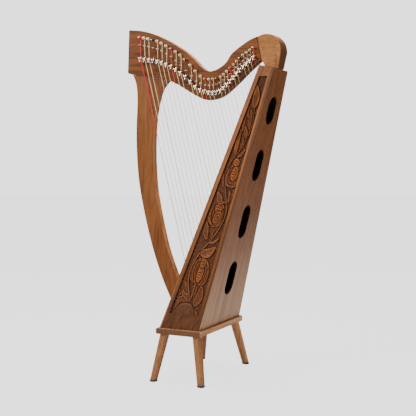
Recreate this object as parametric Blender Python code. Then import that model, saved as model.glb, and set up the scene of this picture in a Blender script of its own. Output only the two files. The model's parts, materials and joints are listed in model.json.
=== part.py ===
"""A floor-standing lever harp: soundbox, neck, pillar, strings, sharping levers and a low stand.

Metres.  X runs from the pillar to the back of the soundbox, Y runs across the harp, Z is up.
The strings and the levers hang on the -Y face of the neck.  The origin is on the floor,
under the middle of the harp.
"""
import math

import bmesh
import bpy
from mathutils import Matrix, Vector

GAP = 0.0003                     # room left between pieces that touch
CUTTER_REACH = 0.020             # how far cutters run past what they cut
STOCK_SIZE = 3.0                 # block that planes cut down to a piece
ROUND_SIDES = 8                  # facets of bolts and bores
WELD_DISTANCE = 0.00001

# Stand
PLATE_TOP = 0.165
PLATE_THICKNESS = 0.018
PLATE_X = (-0.087, 0.066)
PLATE_HALF_WIDTH = 0.160
PLATE_BEVEL = 0.002
LEG_TOP_X = (-0.066, 0.046)
LEG_TOP_Y = 0.137
LEG_FOOT_X = (-0.0905, 0.0745)
LEG_FOOT_Y = 0.1685
LEG_TOP_SIZE = 0.026
LEG_FOOT_SIZE = 0.020
LEG_CHAMFER = 0.22               # corner cut, as a share of the leg's size
PAD_HEIGHT = 0.0062
PAD_MARGIN = 0.0006
BOLT_RADIUS = 0.003
BOLT_IN_LEG = 0.030
BOLT_IN_PLATE = 0.012
BOLT_CLEARANCE = 0.0004
BOLT_HEAD_RADIUS = 0.006
BOLT_HEAD_HEIGHT = 0.004

# Soundbox: a slanted wedge, given by its edges seen from the side and its half widths
BOX_BOTTOM = PLATE_TOP + GAP
BOX_FRONT_FOOT = (-0.0783, PLATE_TOP)
BOX_FRONT_HEAD = (0.2138, 0.9686)
BOX_BACK_FOOT = (0.0579, PLATE_TOP)
BOX_BACK_HEAD = (0.2620, 0.9575)
BOX_HALF_WIDTH_FOOT = 0.151
BOX_HALF_WIDTH_HEAD = 0.0575
SOUNDBOARD_THICKNESS = 0.005
BACK_THICKNESS = 0.007
SIDE_THICKNESS = 0.012
BASE_BOARD_THICKNESS = 0.014
TOP_BLOCK_DEPTH = 0.020
LINING_SIZE = (0.010, 0.012)
RECESS_DEPTH = 0.006
RECESS_BORDER = 0.0135
RECESS_Z = (0.2126, 0.9342)

# Hand holes in the back panel: height of the centre and length of the oval
HAND_HOLES = ((0.312, 0.110), (0.491, 0.108), (0.667, 0.100), (0.834, 0.087))
HAND_HOLE_WIDTH = 0.057
HAND_HOLE_END_STEPS = 18         # facets of each half-round end

# Ribs that the strings pass through
RIB_HALF_WIDTH = 0.011
RIB_THICKNESS = 0.004
RIB_Z = (0.240, 0.957)
INNER_RIB_HALF_WIDTH = 0.014
INNER_RIB_THICKNESS = 0.008
INNER_RIB_LOW = 0.232
STRING_HOLE_RADIUS = 0.0016

# Neck, shoulder and pillar, seen from the side
NECK_HALF = 0.013
SHOULDER_BACK_HALF = 0.0287
PILLAR_HALF = 0.014
NECK_END = ((-0.2724, 0.9685), (-0.2670, 1.1090))
NECK_TOP = (NECK_END[1], (-0.204, 1.1000), (-0.1325, 1.0720), (-0.0492, 1.0220), (0.0070, 0.9700),
            (0.0410, 0.9637), (0.0803, 0.9840), (0.1050, 1.0150), (0.1560, 1.0480), (0.1885, 1.0605))
PILLAR_JOINT = ((-0.2533, 0.9630), (-0.1225, 0.9408))
NECK_BOTTOM = ((0.2015, 0.9880), (0.1910, 0.9810), (0.1600, 0.9557), (0.1110, 0.9130), (0.0695, 0.8830),
               (0.0305, 0.8730), (0.0007, 0.8768), (-0.0508, 0.9040), (-0.0854, 0.9240), PILLAR_JOINT[1])
SHOULDER_ARC = (NECK_TOP[-1], (0.2130, 1.0657), (0.2382, 1.0625), (0.2560, 1.0513), (0.2672, 1.0350),
                (0.2720, 1.0130), (0.2685, 0.9900))
SHOULDER_THROAT = ((0.2143, 0.9700), (0.2082, 0.9800), NECK_BOTTOM[0])
PILLAR_FRONT = (PILLAR_JOINT[0], (-0.2400, 0.9300), (-0.2361, 0.8757), (-0.2403, 0.7900), (-0.2395, 0.7100),
                (-0.2321, 0.6183), (-0.2132, 0.5192), (-0.1815, 0.3998), (-0.1400, 0.2880), (-0.0790, 0.1656))
PILLAR_BACK = ((-0.0549, 0.2303), (-0.0950, 0.3131), (-0.1285, 0.3996), (-0.1566, 0.5130), (-0.1721, 0.6009),
               (-0.1778, 0.7024), (-0.1744, 0.7986), (-0.1641, 0.8629), (-0.1480, 0.9110), PILLAR_JOINT[1])
CURVE_STEPS = 4
EDGE_ROUNDING = 0.0025
SHARP_ANGLE = math.radians(40.0)
SHOULDER_INSET = 0.0002          # the block stops this short of the soundbox's back edge
PILLAR_BOLT_Z = 0.198
PILLAR_BOLT_IN_WOOD = 0.025
# Facet on the pillar's left face that clears the first strings: its edge, and how steeply it falls away
FACET_EDGE = ((-0.1720, 0.7600), (-0.2104, 0.8632))
FACET_SLOPE = 0.075

# Strings
STRING_COUNT = 29
RIB_POINT_FIRST = 0.268          # height of the first string's hole
RIB_POINT_STEP = 0.0254
RIB_POINT_SHRINK = 0.000063
STRING_LIFT = 0.0056             # how far the strings bend in front of the soundboard
LEAN_BASS, LEAN_TREBLE = math.radians(13.0), math.radians(12.0)
STRING_RADIUS_BASS, STRING_RADIUS_TREBLE = 0.0008, 0.0004
STRING_SIDES = 5
SEARCH_STEPS = 12                # rounds of finding where a string crosses a line of pins
SEARCH_START = 1.0               # height that the search starts from
LEVER_STANDOFF = 0.0220          # distance of the strings from the neck's middle plane at the levers
BRIDGE_STANDOFF = 0.0195         # the same at the bridge pins
PIN_STANDOFF = 0.0195            # the same at the tuning pins
BRIDGE_SHIFT = (0.0078, 0.0022)  # sideways from the sounding string's line, at the bass and at the treble
TUNING_SHIFT = (0.0145, 0.0070)
KNOT_DEPTH = 0.0050
KNOT_BAR = 0.003
LEVER_LINE = ((-0.2137, 1.0111), (-0.1504, 1.0005), (-0.0991, 0.9795), (-0.0499, 0.9455), (-0.0132, 0.9120),
              (0.0181, 0.8985), (0.0474, 0.8945), (0.0712, 0.9006), (0.1077, 0.9318), (0.1377, 0.9620),
              (0.1816, 0.9966))
BRIDGE_LINE = ((-0.2199, 1.0578), (-0.1561, 1.0416), (-0.1052, 1.0147), (-0.0717, 0.9870), (-0.0360, 0.9530),
               (-0.0183, 0.9345), (0.0139, 0.9195), (0.0425, 0.9170), (0.0672, 0.9240), (0.0795, 0.9310),
               (0.1100, 0.9560), (0.1450, 0.9860), (0.1800, 1.0125))
TUNING_LINE = ((-0.2190, 1.0824), (-0.1565, 1.0671), (-0.1077, 1.0409), (-0.0727, 1.0190), (-0.0377, 0.9872),
               (-0.0180, 0.9665), (-0.0006, 0.9490), (0.0159, 0.9395), (0.0438, 0.9365), (0.0692, 0.9412),
               (0.0921, 0.9571), (0.1135, 0.9770), (0.1363, 0.9965), (0.1578, 1.0125), (0.1826, 1.0270))

# Pins in the neck
TUNING_PIN_RADIUS = 0.0024
TUNING_PIN_REACH = 0.0300        # from the neck's middle plane to the pin's free end
BRIDGE_PIN_RADIUS = 0.0013
BRIDGE_PIN_REACH = 0.0245
PIN_SIDES = 6
RAIL_HALF_HEIGHT = 0.0022        # strip inside the neck that ties one node's pins together
RAIL_HALF_THICKNESS = 0.0012
RAIL_STRIDE = 2
RAIL_CLEARANCE = 0.0004

# Sharping levers
AXLE_STANDOFF = 0.0265
AXLE_RADIUS = 0.0008
BRACKET_HALF_WIDTH = 0.0041
BRACKET_WALL = 0.0012
BRACKET_HEIGHT = 0.006
BRACKET_REACH = 0.0285
FRET_REACH = 0.0207
FRET_HALF_WIDTH = 0.0008
STRAP_HALF_HEIGHT = 0.0015       # strip on the neck's face that ties the brackets together
STRAP_THICKNESS = 0.0008
STRAP_INSET = 0.0001             # keeps the strip's back off the brackets' back plane
HUB_RADIUS = 0.0022
HUB_BORE_RADIUS = 0.0012
HUB_HALF_WIDTH = 0.0025
NOSE_REACH = 0.0034
NOSE_HALF_WIDTH = 0.0009
HANDLE_LENGTH = 0.012
HANDLE_HALF = 0.0008
HANDLE_TIP_RADIUS = 0.0018
HANDLE_REST_ANGLE = math.radians(40.0)   # outwards from straight down the string
LEVER_TRAVEL = math.radians(110.0)

# Colours
WALNUT = (0.285, 0.125, 0.052)
WALNUT_DARK = (0.155, 0.070, 0.033)
WALNUT_LIGHT = (0.400, 0.205, 0.100)
SPRUCE = (0.560, 0.400, 0.230)
STEEL = (0.700, 0.690, 0.660)
NYLON = (0.780, 0.700, 0.560)
RUBBER = (0.015, 0.015, 0.015)


# ---------------------------------------------------------------- helpers

def clear_scene():
    for old in list(bpy.data.objects):
        bpy.data.objects.remove(old, do_unlink=True)


def material(name, color, roughness, metallic=0.0):
    existing = bpy.data.materials.get(name)
    if existing:
        return existing
    made = bpy.data.materials.new(name)
    made.use_nodes = True
    shader = made.node_tree.nodes["Principled BSDF"]
    shader.inputs["Base Color"].default_value = (*color, 1.0)
    shader.inputs["Roughness"].default_value = roughness
    shader.inputs["Metallic"].default_value = metallic
    made.diffuse_color = (*color, 1.0)
    return made


def walnut():
    return material("walnut", WALNUT, 0.45)


def nickel():
    return material("nickel", STEEL, 0.25, 1.0)


def new_object(name, mesh_or_bmesh, look):
    """Put a bmesh or a finished mesh in the scene as one named object."""
    if isinstance(mesh_or_bmesh, bmesh.types.BMesh):
        bmesh.ops.recalc_face_normals(mesh_or_bmesh, faces=mesh_or_bmesh.faces[:])
        mesh = bpy.data.meshes.new(name)
        mesh_or_bmesh.to_mesh(mesh)
        mesh_or_bmesh.free()
        mesh.shade_smooth()
        mesh.set_sharp_from_angle(angle=SHARP_ANGLE)
    else:
        mesh = mesh_or_bmesh
    made = bpy.data.objects.new(name, mesh)
    bpy.context.scene.collection.objects.link(made)
    if look and not mesh.materials:
        mesh.materials.append(look)
    return made


def nickel_object(name, shape):
    return new_object(name, shape, nickel())


def guide(name, shape):
    """A cutter or a shape to be joined: it takes part in Booleans only."""
    made = new_object(name, shape, None)
    made.hide_render = True
    made.display_type = 'WIRE'
    return made


def combine(target, other, operation):
    step = target.modifiers.new(operation.lower() + "_" + other.name, 'BOOLEAN')
    step.operation = operation
    step.solver = 'EXACT'
    step.object = other
    return step


def round_edges(target, width):
    step = target.modifiers.new("round", 'BEVEL')
    step.width = width
    step.segments = 2
    step.limit_method = 'ANGLE'
    step.angle_limit = SHARP_ANGLE
    return step


def baked_mesh(source):
    """The source object's shape with its modifiers applied, as a mesh that copies can share."""
    bpy.context.view_layer.update()
    evaluated = source.evaluated_get(bpy.context.evaluated_depsgraph_get())
    return bpy.data.meshes.new_from_object(evaluated)


def smooth_line(points, steps=CURVE_STEPS):
    """Points along a Catmull-Rom curve through the given (x, z) points."""
    ends = (points[0],) + tuple(points) + (points[-1],)
    line = []
    for p0, p1, p2, p3 in zip(ends, ends[1:], ends[2:], ends[3:]):
        for step in range(steps):
            t = step / steps
            line.append(tuple(
                0.5 * (2 * b + (c - a) * t + (2 * a - 5 * b + 4 * c - d) * t ** 2
                       + (3 * b - a - 3 * c + d) * t ** 3)
                for a, b, c, d in zip(p0, p1, p2, p3)))
    line.append(tuple(points[-1]))
    return line


def height_on(line, x):
    """Height of a curve, given as (x, z) points with x rising, at one x."""
    for (x0, z0), (x1, z1) in zip(line, line[1:]):
        if x <= x1:
            break
    return z0 + (z1 - z0) * (x - x0) / (x1 - x0)


def prism(outline, low_y, high_y):
    """A bmesh with the (x, z) outline, running from low_y to high_y."""
    shape = bmesh.new()
    corners = [shape.verts.new((x, low_y, z)) for x, z in outline]
    face = shape.faces.new(corners)
    sweep = bmesh.ops.extrude_face_region(shape, geom=[face])
    moved = [item for item in sweep["geom"] if isinstance(item, bmesh.types.BMVert)]
    bmesh.ops.translate(shape, verts=moved, vec=(0.0, high_y - low_y, 0.0))
    return shape


def add_tube(shape, path, radius, sides):
    """Add a closed tube along the path to a bmesh."""
    rings = []
    for index, centre in enumerate(path):
        before = path[max(index - 1, 0)]
        after = path[min(index + 1, len(path) - 1)]
        along = (after - before).normalized()
        across = along.cross(Vector((0.0, 1.0, 0.0))).normalized()
        up = across.cross(along)
        ring = []
        for side in range(sides):
            angle = 2 * math.pi * (side + 0.5) / sides
            offset = across * math.cos(angle) + up * math.sin(angle)
            ring.append(shape.verts.new(centre + offset * radius))
        rings.append(ring)
    for low, high in zip(rings, rings[1:]):
        for side in range(sides):
            after = (side + 1) % sides
            shape.faces.new((low[side], low[after], high[after], high[side]))
    shape.faces.new(reversed(rings[0]))
    shape.faces.new(rings[-1])


def add_rod(shape, start, end, radius, sides):
    """Add a straight closed rod, whose direction may be Y itself, to a bmesh."""
    along = (end - start).normalized()
    turn = Vector((0.0, 0.0, 1.0)).rotation_difference(along).to_matrix().to_4x4()
    place = Matrix.Translation((start + end) / 2) @ turn
    bmesh.ops.create_cone(shape, cap_ends=True, segments=sides, radius1=radius, radius2=radius,
                          depth=(end - start).length, matrix=place)


# ---------------------------------------------------------------- planes of the soundbox

def slope_normal(start, end, hand):
    """Unit normal of an edge seen from the side: 1 for its right going from start to end, -1 for its left."""
    run = Vector((end[0] - start[0], 0.0, end[1] - start[1])).normalized()
    return Vector((run.z * hand, 0.0, -run.x * hand))


FRONT_NORMAL = slope_normal(BOX_FRONT_FOOT, BOX_FRONT_HEAD, -1)
BACK_NORMAL = slope_normal(BOX_BACK_FOOT, BOX_BACK_HEAD, 1)
HEAD_NORMAL = slope_normal(BOX_FRONT_HEAD, BOX_BACK_HEAD, -1)


def front(offset):
    """Plane of the soundboard's outer face, moved outwards by offset, as (point, outward normal)."""
    return Vector((BOX_FRONT_FOOT[0], 0.0, BOX_FRONT_FOOT[1])) + FRONT_NORMAL * offset, FRONT_NORMAL


def back(offset):
    return Vector((BOX_BACK_FOOT[0], 0.0, BOX_BACK_FOOT[1])) + BACK_NORMAL * offset, BACK_NORMAL


def side(sign, offset):
    """Plane of the left (-1) or right (+1) side of the box."""
    rise = (BOX_FRONT_HEAD[1] + BOX_BACK_HEAD[1]) / 2 - PLATE_TOP
    taper = (BOX_HALF_WIDTH_FOOT - BOX_HALF_WIDTH_HEAD) / rise
    normal = Vector((0.0, sign, taper)).normalized()
    return Vector((0.0, sign * BOX_HALF_WIDTH_FOOT, PLATE_TOP)) + normal * offset, normal


def floor_plane(height):
    """Keeps what is above the height."""
    return Vector((0.0, 0.0, height)), Vector((0.0, 0.0, -1.0))


def ceiling_plane(height):
    """Keeps what is below the height."""
    return Vector((0.0, 0.0, height)), Vector((0.0, 0.0, 1.0))


def head(offset):
    """Plane of the box's sloping top."""
    return Vector((BOX_FRONT_HEAD[0], 0.0, BOX_FRONT_HEAD[1])) + HEAD_NORMAL * offset, HEAD_NORMAL


def wall(sign, distance):
    """Upright plane at a distance from the middle, keeping the side towards the middle."""
    return Vector((0.0, sign * distance, 0.0)), Vector((0.0, sign, 0.0))


def flipped(plane):
    return plane[0], -plane[1]


def cell(planes):
    """A convex solid: what lies behind every (point, outward normal) plane."""
    shape = bmesh.new()
    bmesh.ops.create_cube(shape, size=STOCK_SIZE)
    for point, normal in planes:
        whole = shape.verts[:] + shape.edges[:] + shape.faces[:]
        cut = bmesh.ops.bisect_plane(shape, geom=whole, plane_co=point, plane_no=normal, clear_outer=True)
        rim = [item for item in cut["geom_cut"] if isinstance(item, bmesh.types.BMEdge)]
        if rim:
            bmesh.ops.contextual_create(shape, geom=rim)
    bmesh.ops.remove_doubles(shape, verts=shape.verts[:], dist=WELD_DISTANCE)
    return shape


def front_x(height):
    """X of the soundboard's outer face at a height."""
    share = (height - BOX_FRONT_FOOT[1]) / (BOX_FRONT_HEAD[1] - BOX_FRONT_FOOT[1])
    return BOX_FRONT_FOOT[0] + (BOX_FRONT_HEAD[0] - BOX_FRONT_FOOT[0]) * share


def back_x(height):
    share = (height - BOX_BACK_FOOT[1]) / (BOX_BACK_HEAD[1] - BOX_BACK_FOOT[1])
    return BOX_BACK_FOOT[0] + (BOX_BACK_HEAD[0] - BOX_BACK_FOOT[0]) * share


# ---------------------------------------------------------------- strings

class HarpString:
    """The places that one string passes, from the bass (index 0) to the treble."""

    def __init__(self, index):
        share = index / (STRING_COUNT - 1)
        self.radius = STRING_RADIUS_BASS + (STRING_RADIUS_TREBLE - STRING_RADIUS_BASS) * share
        self.lean = LEAN_BASS + (LEAN_TREBLE - LEAN_BASS) * share
        hole_z = RIB_POINT_FIRST + RIB_POINT_STEP * index - RIB_POINT_SHRINK * index ** 2
        surface = Vector((front_x(hole_z), 0.0, hole_z))
        self.rib = surface + FRONT_NORMAL * STRING_LIFT
        depth = SOUNDBOARD_THICKNESS + INNER_RIB_THICKNESS + 2 * GAP + KNOT_DEPTH
        self.knot = surface - FRONT_NORMAL * depth
        self.lever = self.place_on(LEVER_LINE, (0.0, 0.0), LEVER_STANDOFF, share)
        self.bridge = self.place_on(BRIDGE_LINE, BRIDGE_SHIFT, BRIDGE_STANDOFF, share)
        self.tuning = self.place_on(TUNING_LINE, TUNING_SHIFT, PIN_STANDOFF, share)
        self.up = Vector((-math.sin(self.lean), 0.0, math.cos(self.lean)))
        self.across = Vector((math.cos(self.lean), 0.0, math.sin(self.lean)))

    def place_on(self, line, shift, standoff, share):
        """Where the string passes a line of pins or levers, a little to the side of its sounding length."""
        aside = shift[0] + (shift[1] - shift[0]) * share
        points = smooth_line(line)
        height = SEARCH_START
        for _ in range(SEARCH_STEPS):
            x = self.rib.x - (height - self.rib.z) * math.tan(self.lean) + aside
            height = height_on(points, x)
        return Vector((x, -standoff, height))

    def pin_centre(self, place, pin_radius):
        """Middle of a pin that the string passes on its right side, on the neck's middle plane."""
        centre = place - self.across * (pin_radius + self.radius + GAP)
        return Vector((centre.x, 0.0, centre.z))

    def axle(self):
        """Middle of the lever's axle."""
        return Vector((self.lever.x, -AXLE_STANDOFF, self.lever.z))


def build_strings(strings):
    tubes = bmesh.new()
    for one in strings:
        add_tube(tubes, [one.tuning, one.bridge, one.lever, one.rib, one.knot], one.radius, STRING_SIDES)
    first, last = strings[0].knot, strings[-1].knot
    along = (last - first).normalized()
    bar = bmesh.new()
    add_rod(bar, first - along * KNOT_BAR, last + along * KNOT_BAR, KNOT_BAR / 2, 4)
    joined = new_object("strings", tubes, material("string", NYLON, 0.4))
    combine(joined, guide("knot_bar", bar), 'UNION')
    return joined


def string_hole_cutter(strings):
    """Rods square to the soundboard, one for each string."""
    rods = bmesh.new()
    reach = FRONT_NORMAL * CUTTER_REACH
    for one in strings:
        middle = one.rib - FRONT_NORMAL * STRING_LIFT
        add_rod(rods, middle + reach, middle - reach, STRING_HOLE_RADIUS, PIN_SIDES)
    return guide("string_hole_cutter", rods)


# ---------------------------------------------------------------- pins in the neck

def pins_shape(centres, radius, reach, grow):
    """Pins from the neck's middle plane outwards; grow makes the same shape larger, to cut its room."""
    pins = bmesh.new()
    for centre in centres:
        add_rod(pins, Vector((centre.x, -reach, centre.z)), centre, radius + grow, PIN_SIDES)
    return pins


def ribbon(centres, half_height, low_y, high_y):
    """A thin strip that follows every second centre, seen from the side."""
    picked = centres[::RAIL_STRIDE]
    if picked[-1] is not centres[-1]:
        picked.append(centres[-1])
    upper, lower = [], []
    for index, centre in enumerate(picked):
        along = (picked[min(index + 1, len(picked) - 1)] - picked[max(index - 1, 0)]).normalized()
        square = Vector((-along.z, 0.0, along.x)) * half_height
        upper.append((centre + square).xz)
        lower.append((centre - square).xz)
    return prism(upper + lower[::-1], low_y, high_y)


def railed_pins(make, name, centres, radius, reach, grow):
    """The pins joined to a rail on the neck's middle plane, as an object made by the given function."""
    rail_grow = RAIL_CLEARANCE if grow else 0.0
    thickness = RAIL_HALF_THICKNESS + rail_grow
    joined = make(name, ribbon(centres, RAIL_HALF_HEIGHT + rail_grow, -thickness, thickness))
    combine(joined, guide(name + "_rods", pins_shape(centres, radius, reach, grow)), 'UNION')
    return joined


def build_pins(name, centres, radius, reach, neck):
    """One node of pins, tied together inside the neck, and the room for them in the neck."""
    railed_pins(nickel_object, name, centres, radius, reach, 0.0)
    combine(neck, railed_pins(guide, name + "_room", centres, radius, reach, GAP), 'DIFFERENCE')


# ---------------------------------------------------------------- levers

def lever_frame(one):
    """Axes at a lever: X along the axle, -Y away from the neck, Z up the string."""
    turn = Matrix((one.across, Vector((0.0, 1.0, 0.0)), one.up)).transposed().to_4x4()
    return Matrix.Translation(one.axle()) @ turn


def arc(centre, radius, start, end, steps):
    """Points on an arc, anticlockwise, angles in radians."""
    return [(centre[0] + radius * math.cos(start + (end - start) * step / steps),
             centre[1] + radius * math.sin(start + (end - start) * step / steps))
            for step in range(steps + 1)]


def lever_outline():
    """Side view of a lever as (y, z): hub with a cam nose, and the handle with its rounded tip."""
    handle = -math.pi / 2 - HANDLE_REST_ANGLE
    nose = LEVER_TRAVEL
    tip = (HANDLE_LENGTH * math.cos(handle), HANDLE_LENGTH * math.sin(handle))
    handle_turn = math.asin(HANDLE_HALF / HUB_RADIUS)
    nose_turn = math.asin(NOSE_HALF_WIDTH / HUB_RADIUS)
    nose_half = math.atan(NOSE_HALF_WIDTH / NOSE_REACH)
    tip_half = math.pi - math.asin(HANDLE_HALF / HANDLE_TIP_RADIUS)
    outline = arc((0, 0), HUB_RADIUS, handle + handle_turn, nose - nose_turn, 5)
    outline += arc((0, 0), NOSE_REACH, nose - nose_half, nose + nose_half, 2)
    outline += arc((0, 0), HUB_RADIUS, nose + nose_turn, handle + 2 * math.pi - handle_turn, 3)
    outline += arc(tip, HANDLE_TIP_RADIUS, handle - tip_half, handle + tip_half, 6)
    return outline


def lever_mesh():
    shape = prism(lever_outline(), -HUB_HALF_WIDTH, HUB_HALF_WIDTH)
    # The prism's (x, z) outline is the lever's (y, z) side view, so a quarter turn about Z stands it up.
    bmesh.ops.rotate(shape, verts=shape.verts[:], cent=(0, 0, 0), matrix=Matrix.Rotation(math.pi / 2, 3, 'Z'))
    body = guide("lever_master", shape)
    bore = bmesh.new()
    reach = Vector((HUB_HALF_WIDTH * 2, 0.0, 0.0))
    add_rod(bore, -reach, reach, HUB_BORE_RADIUS, ROUND_SIDES)
    cutter = guide("lever_bore", bore)
    combine(body, cutter, 'DIFFERENCE')
    mesh = baked_mesh(body)
    mesh.materials.append(nickel())
    for spent in (body, cutter):
        bpy.data.objects.remove(spent, do_unlink=True)
    return mesh


def build_levers(strings):
    mesh = lever_mesh()
    for index, one in enumerate(strings):
        lever = new_object("lever_%02d" % (index + 1), mesh, None)
        lever.matrix_world = lever_frame(one)


def bracket_outline():
    """Section across the string as (x, distance from the middle plane): two cheeks and the fret between."""
    inner = BRACKET_HALF_WIDTH - BRACKET_WALL
    floor = NECK_HALF + GAP
    plate = floor + BRACKET_WALL
    half = [(BRACKET_HALF_WIDTH, floor), (BRACKET_HALF_WIDTH, BRACKET_REACH), (inner, BRACKET_REACH),
            (inner, plate), (FRET_HALF_WIDTH, plate), (FRET_HALF_WIDTH, FRET_REACH)]
    return half + [(-x, distance) for x, distance in reversed(half)]


def add_bracket(shape, one):
    """Add one lever's bracket, from its section, to a bmesh."""
    base = one.axle()
    rings = []
    for height in (-BRACKET_HEIGHT / 2, BRACKET_HEIGHT / 2):
        middle = Vector((base.x, 0.0, base.z)) + one.up * height
        rings.append([shape.verts.new(middle + one.across * x - Vector((0.0, distance, 0.0)))
                      for x, distance in bracket_outline()])
    low, high = rings
    for index in range(len(low)):
        after = (index + 1) % len(low)
        shape.faces.new((low[index], low[after], high[after], high[index]))
    shape.faces.new(low)
    shape.faces.new(high)


def build_brackets(strings):
    cheeks = bmesh.new()
    axles = bmesh.new()
    for one in strings:
        add_bracket(cheeks, one)
        reach = one.across * (BRACKET_HALF_WIDTH - BRACKET_WALL / 2)
        add_rod(axles, one.axle() - reach, one.axle() + reach, AXLE_RADIUS, PIN_SIDES)
    node = new_object("lever_brackets", cheeks, nickel())
    combine(node, guide("bracket_axles", axles), 'UNION')
    face = -NECK_HALF - GAP
    strap = ribbon([one.axle() for one in strings], STRAP_HALF_HEIGHT,
                   face - STRAP_THICKNESS, face - STRAP_INSET)
    combine(node, guide("bracket_strap", strap), 'UNION')


# ---------------------------------------------------------------- stand

def octagon(size):
    """Corners of a square with its corners cut off, as (x, y)."""
    half = size / 2
    cut = size * LEG_CHAMFER
    corners = []
    for sx, sy in ((1, 1), (-1, 1), (-1, -1), (1, -1)):
        pair = [(sx * half, sy * (half - cut)), (sx * (half - cut), sy * half)]
        corners += pair if sx * sy > 0 else pair[::-1]
    return corners


def tapered_post(low, high, low_size, high_size):
    """A chamfered square post between two level ends."""
    shape = bmesh.new()
    rings = []
    for centre, size in ((low, low_size), (high, high_size)):
        rings.append([shape.verts.new((centre.x + x, centre.y + y, centre.z)) for x, y in octagon(size)])
    for index in range(8):
        after = (index + 1) % 8
        shape.faces.new((rings[0][index], rings[0][after], rings[1][after], rings[1][index]))
    shape.faces.new(rings[0])
    shape.faces.new(rings[1])
    return shape


def leg_axis(side_x, side_y):
    """Middle of a leg at the floor and at the underside of the plate."""
    foot = Vector((LEG_FOOT_X[side_x], side_y * LEG_FOOT_Y, 0.0))
    top = Vector((LEG_TOP_X[side_x], side_y * LEG_TOP_Y, PLATE_TOP - PLATE_THICKNESS - GAP))
    return foot, top


def build_stand():
    plate = bmesh.new()
    bmesh.ops.create_cube(plate, size=1.0)
    size = Vector((PLATE_X[1] - PLATE_X[0], 2 * PLATE_HALF_WIDTH, PLATE_THICKNESS))
    middle = Vector((sum(PLATE_X) / 2, 0.0, PLATE_TOP - PLATE_THICKNESS / 2))
    bmesh.ops.scale(plate, verts=plate.verts[:], vec=size)
    bmesh.ops.translate(plate, verts=plate.verts[:], vec=middle)
    board = new_object("stand_plate", plate, walnut())
    round_edges(board, PLATE_BEVEL)
    for side_x, end in enumerate(("front", "back")):
        for side_y, hand in ((-1, "left"), (1, "right")):
            build_leg(end + "_" + hand, side_x, side_y, board)


def build_leg(place, side_x, side_y, board):
    foot, top = leg_axis(side_x, side_y)
    down = (foot - top) / (top.z - foot.z)
    pad_top = foot - down * PAD_HEIGHT
    wood_low = foot - down * (PAD_HEIGHT + GAP)
    leg = new_object("leg_" + place, tapered_post(wood_low, top, LEG_FOOT_SIZE, LEG_TOP_SIZE),
                     material("walnut_light", WALNUT_LIGHT, 0.45))
    pad_size = LEG_FOOT_SIZE + 2 * PAD_MARGIN
    new_object("foot_pad_" + place, tapered_post(foot, pad_top, pad_size, pad_size),
               material("rubber", RUBBER, 0.8))
    along = -down.normalized()
    low, high = top - along * BOLT_IN_LEG, top + along * BOLT_IN_PLATE
    bolt = bmesh.new()
    add_rod(bolt, low, high, BOLT_RADIUS, ROUND_SIDES)
    new_object("leg_bolt_" + place, bolt, material("steel", STEEL, 0.4, 1.0))
    room = bmesh.new()
    add_rod(room, low - along * GAP, high + along * GAP, BOLT_RADIUS + BOLT_CLEARANCE, ROUND_SIDES)
    cutter = guide("bolt_room_" + place, room)
    combine(leg, cutter, 'DIFFERENCE')
    combine(board, cutter, 'DIFFERENCE')


# ---------------------------------------------------------------- soundbox

def build_side_panel(name, sign):
    inner = side(sign, -SIDE_THICKNESS)
    panel = new_object(name, cell([
        side(sign, 0.0), flipped(inner), front(-SOUNDBOARD_THICKNESS - GAP), back(-BACK_THICKNESS - GAP),
        floor_plane(BOX_BOTTOM), head(0.0)]), walnut())
    recess = cell([
        side(sign, CUTTER_REACH), flipped(side(sign, -RECESS_DEPTH)),
        front(-RECESS_BORDER), back(-RECESS_BORDER),
        floor_plane(RECESS_Z[0]), ceiling_plane(RECESS_Z[1])])
    combine(panel, guide(name + "_recess", recess), 'DIFFERENCE')


def hand_hole_cutter(height, length):
    """An oval plug through the back panel, square to it."""
    run = Vector((-BACK_NORMAL.z, 0.0, BACK_NORMAL.x))
    centre = Vector((back_x(height), 0.0, height))
    radius = HAND_HOLE_WIDTH / 2
    straight = length / 2 - radius
    rim = arc((0.0, straight), radius, 0.0, math.pi, HAND_HOLE_END_STEPS)
    rim += arc((0.0, -straight), radius, math.pi, 2 * math.pi, HAND_HOLE_END_STEPS)
    shape = bmesh.new()
    rings = []
    for depth in (-CUTTER_REACH, CUTTER_REACH):
        rings.append([shape.verts.new(centre + Vector((0.0, y, 0.0)) + run * up + BACK_NORMAL * depth)
                      for y, up in rim])
    for index in range(len(rim)):
        after = (index + 1) % len(rim)
        shape.faces.new((rings[0][index], rings[0][after], rings[1][after], rings[1][index]))
    shape.faces.new(rings[0])
    shape.faces.new(rings[1])
    return guide("hand_hole_%d" % round(height * 1000), shape)


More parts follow.
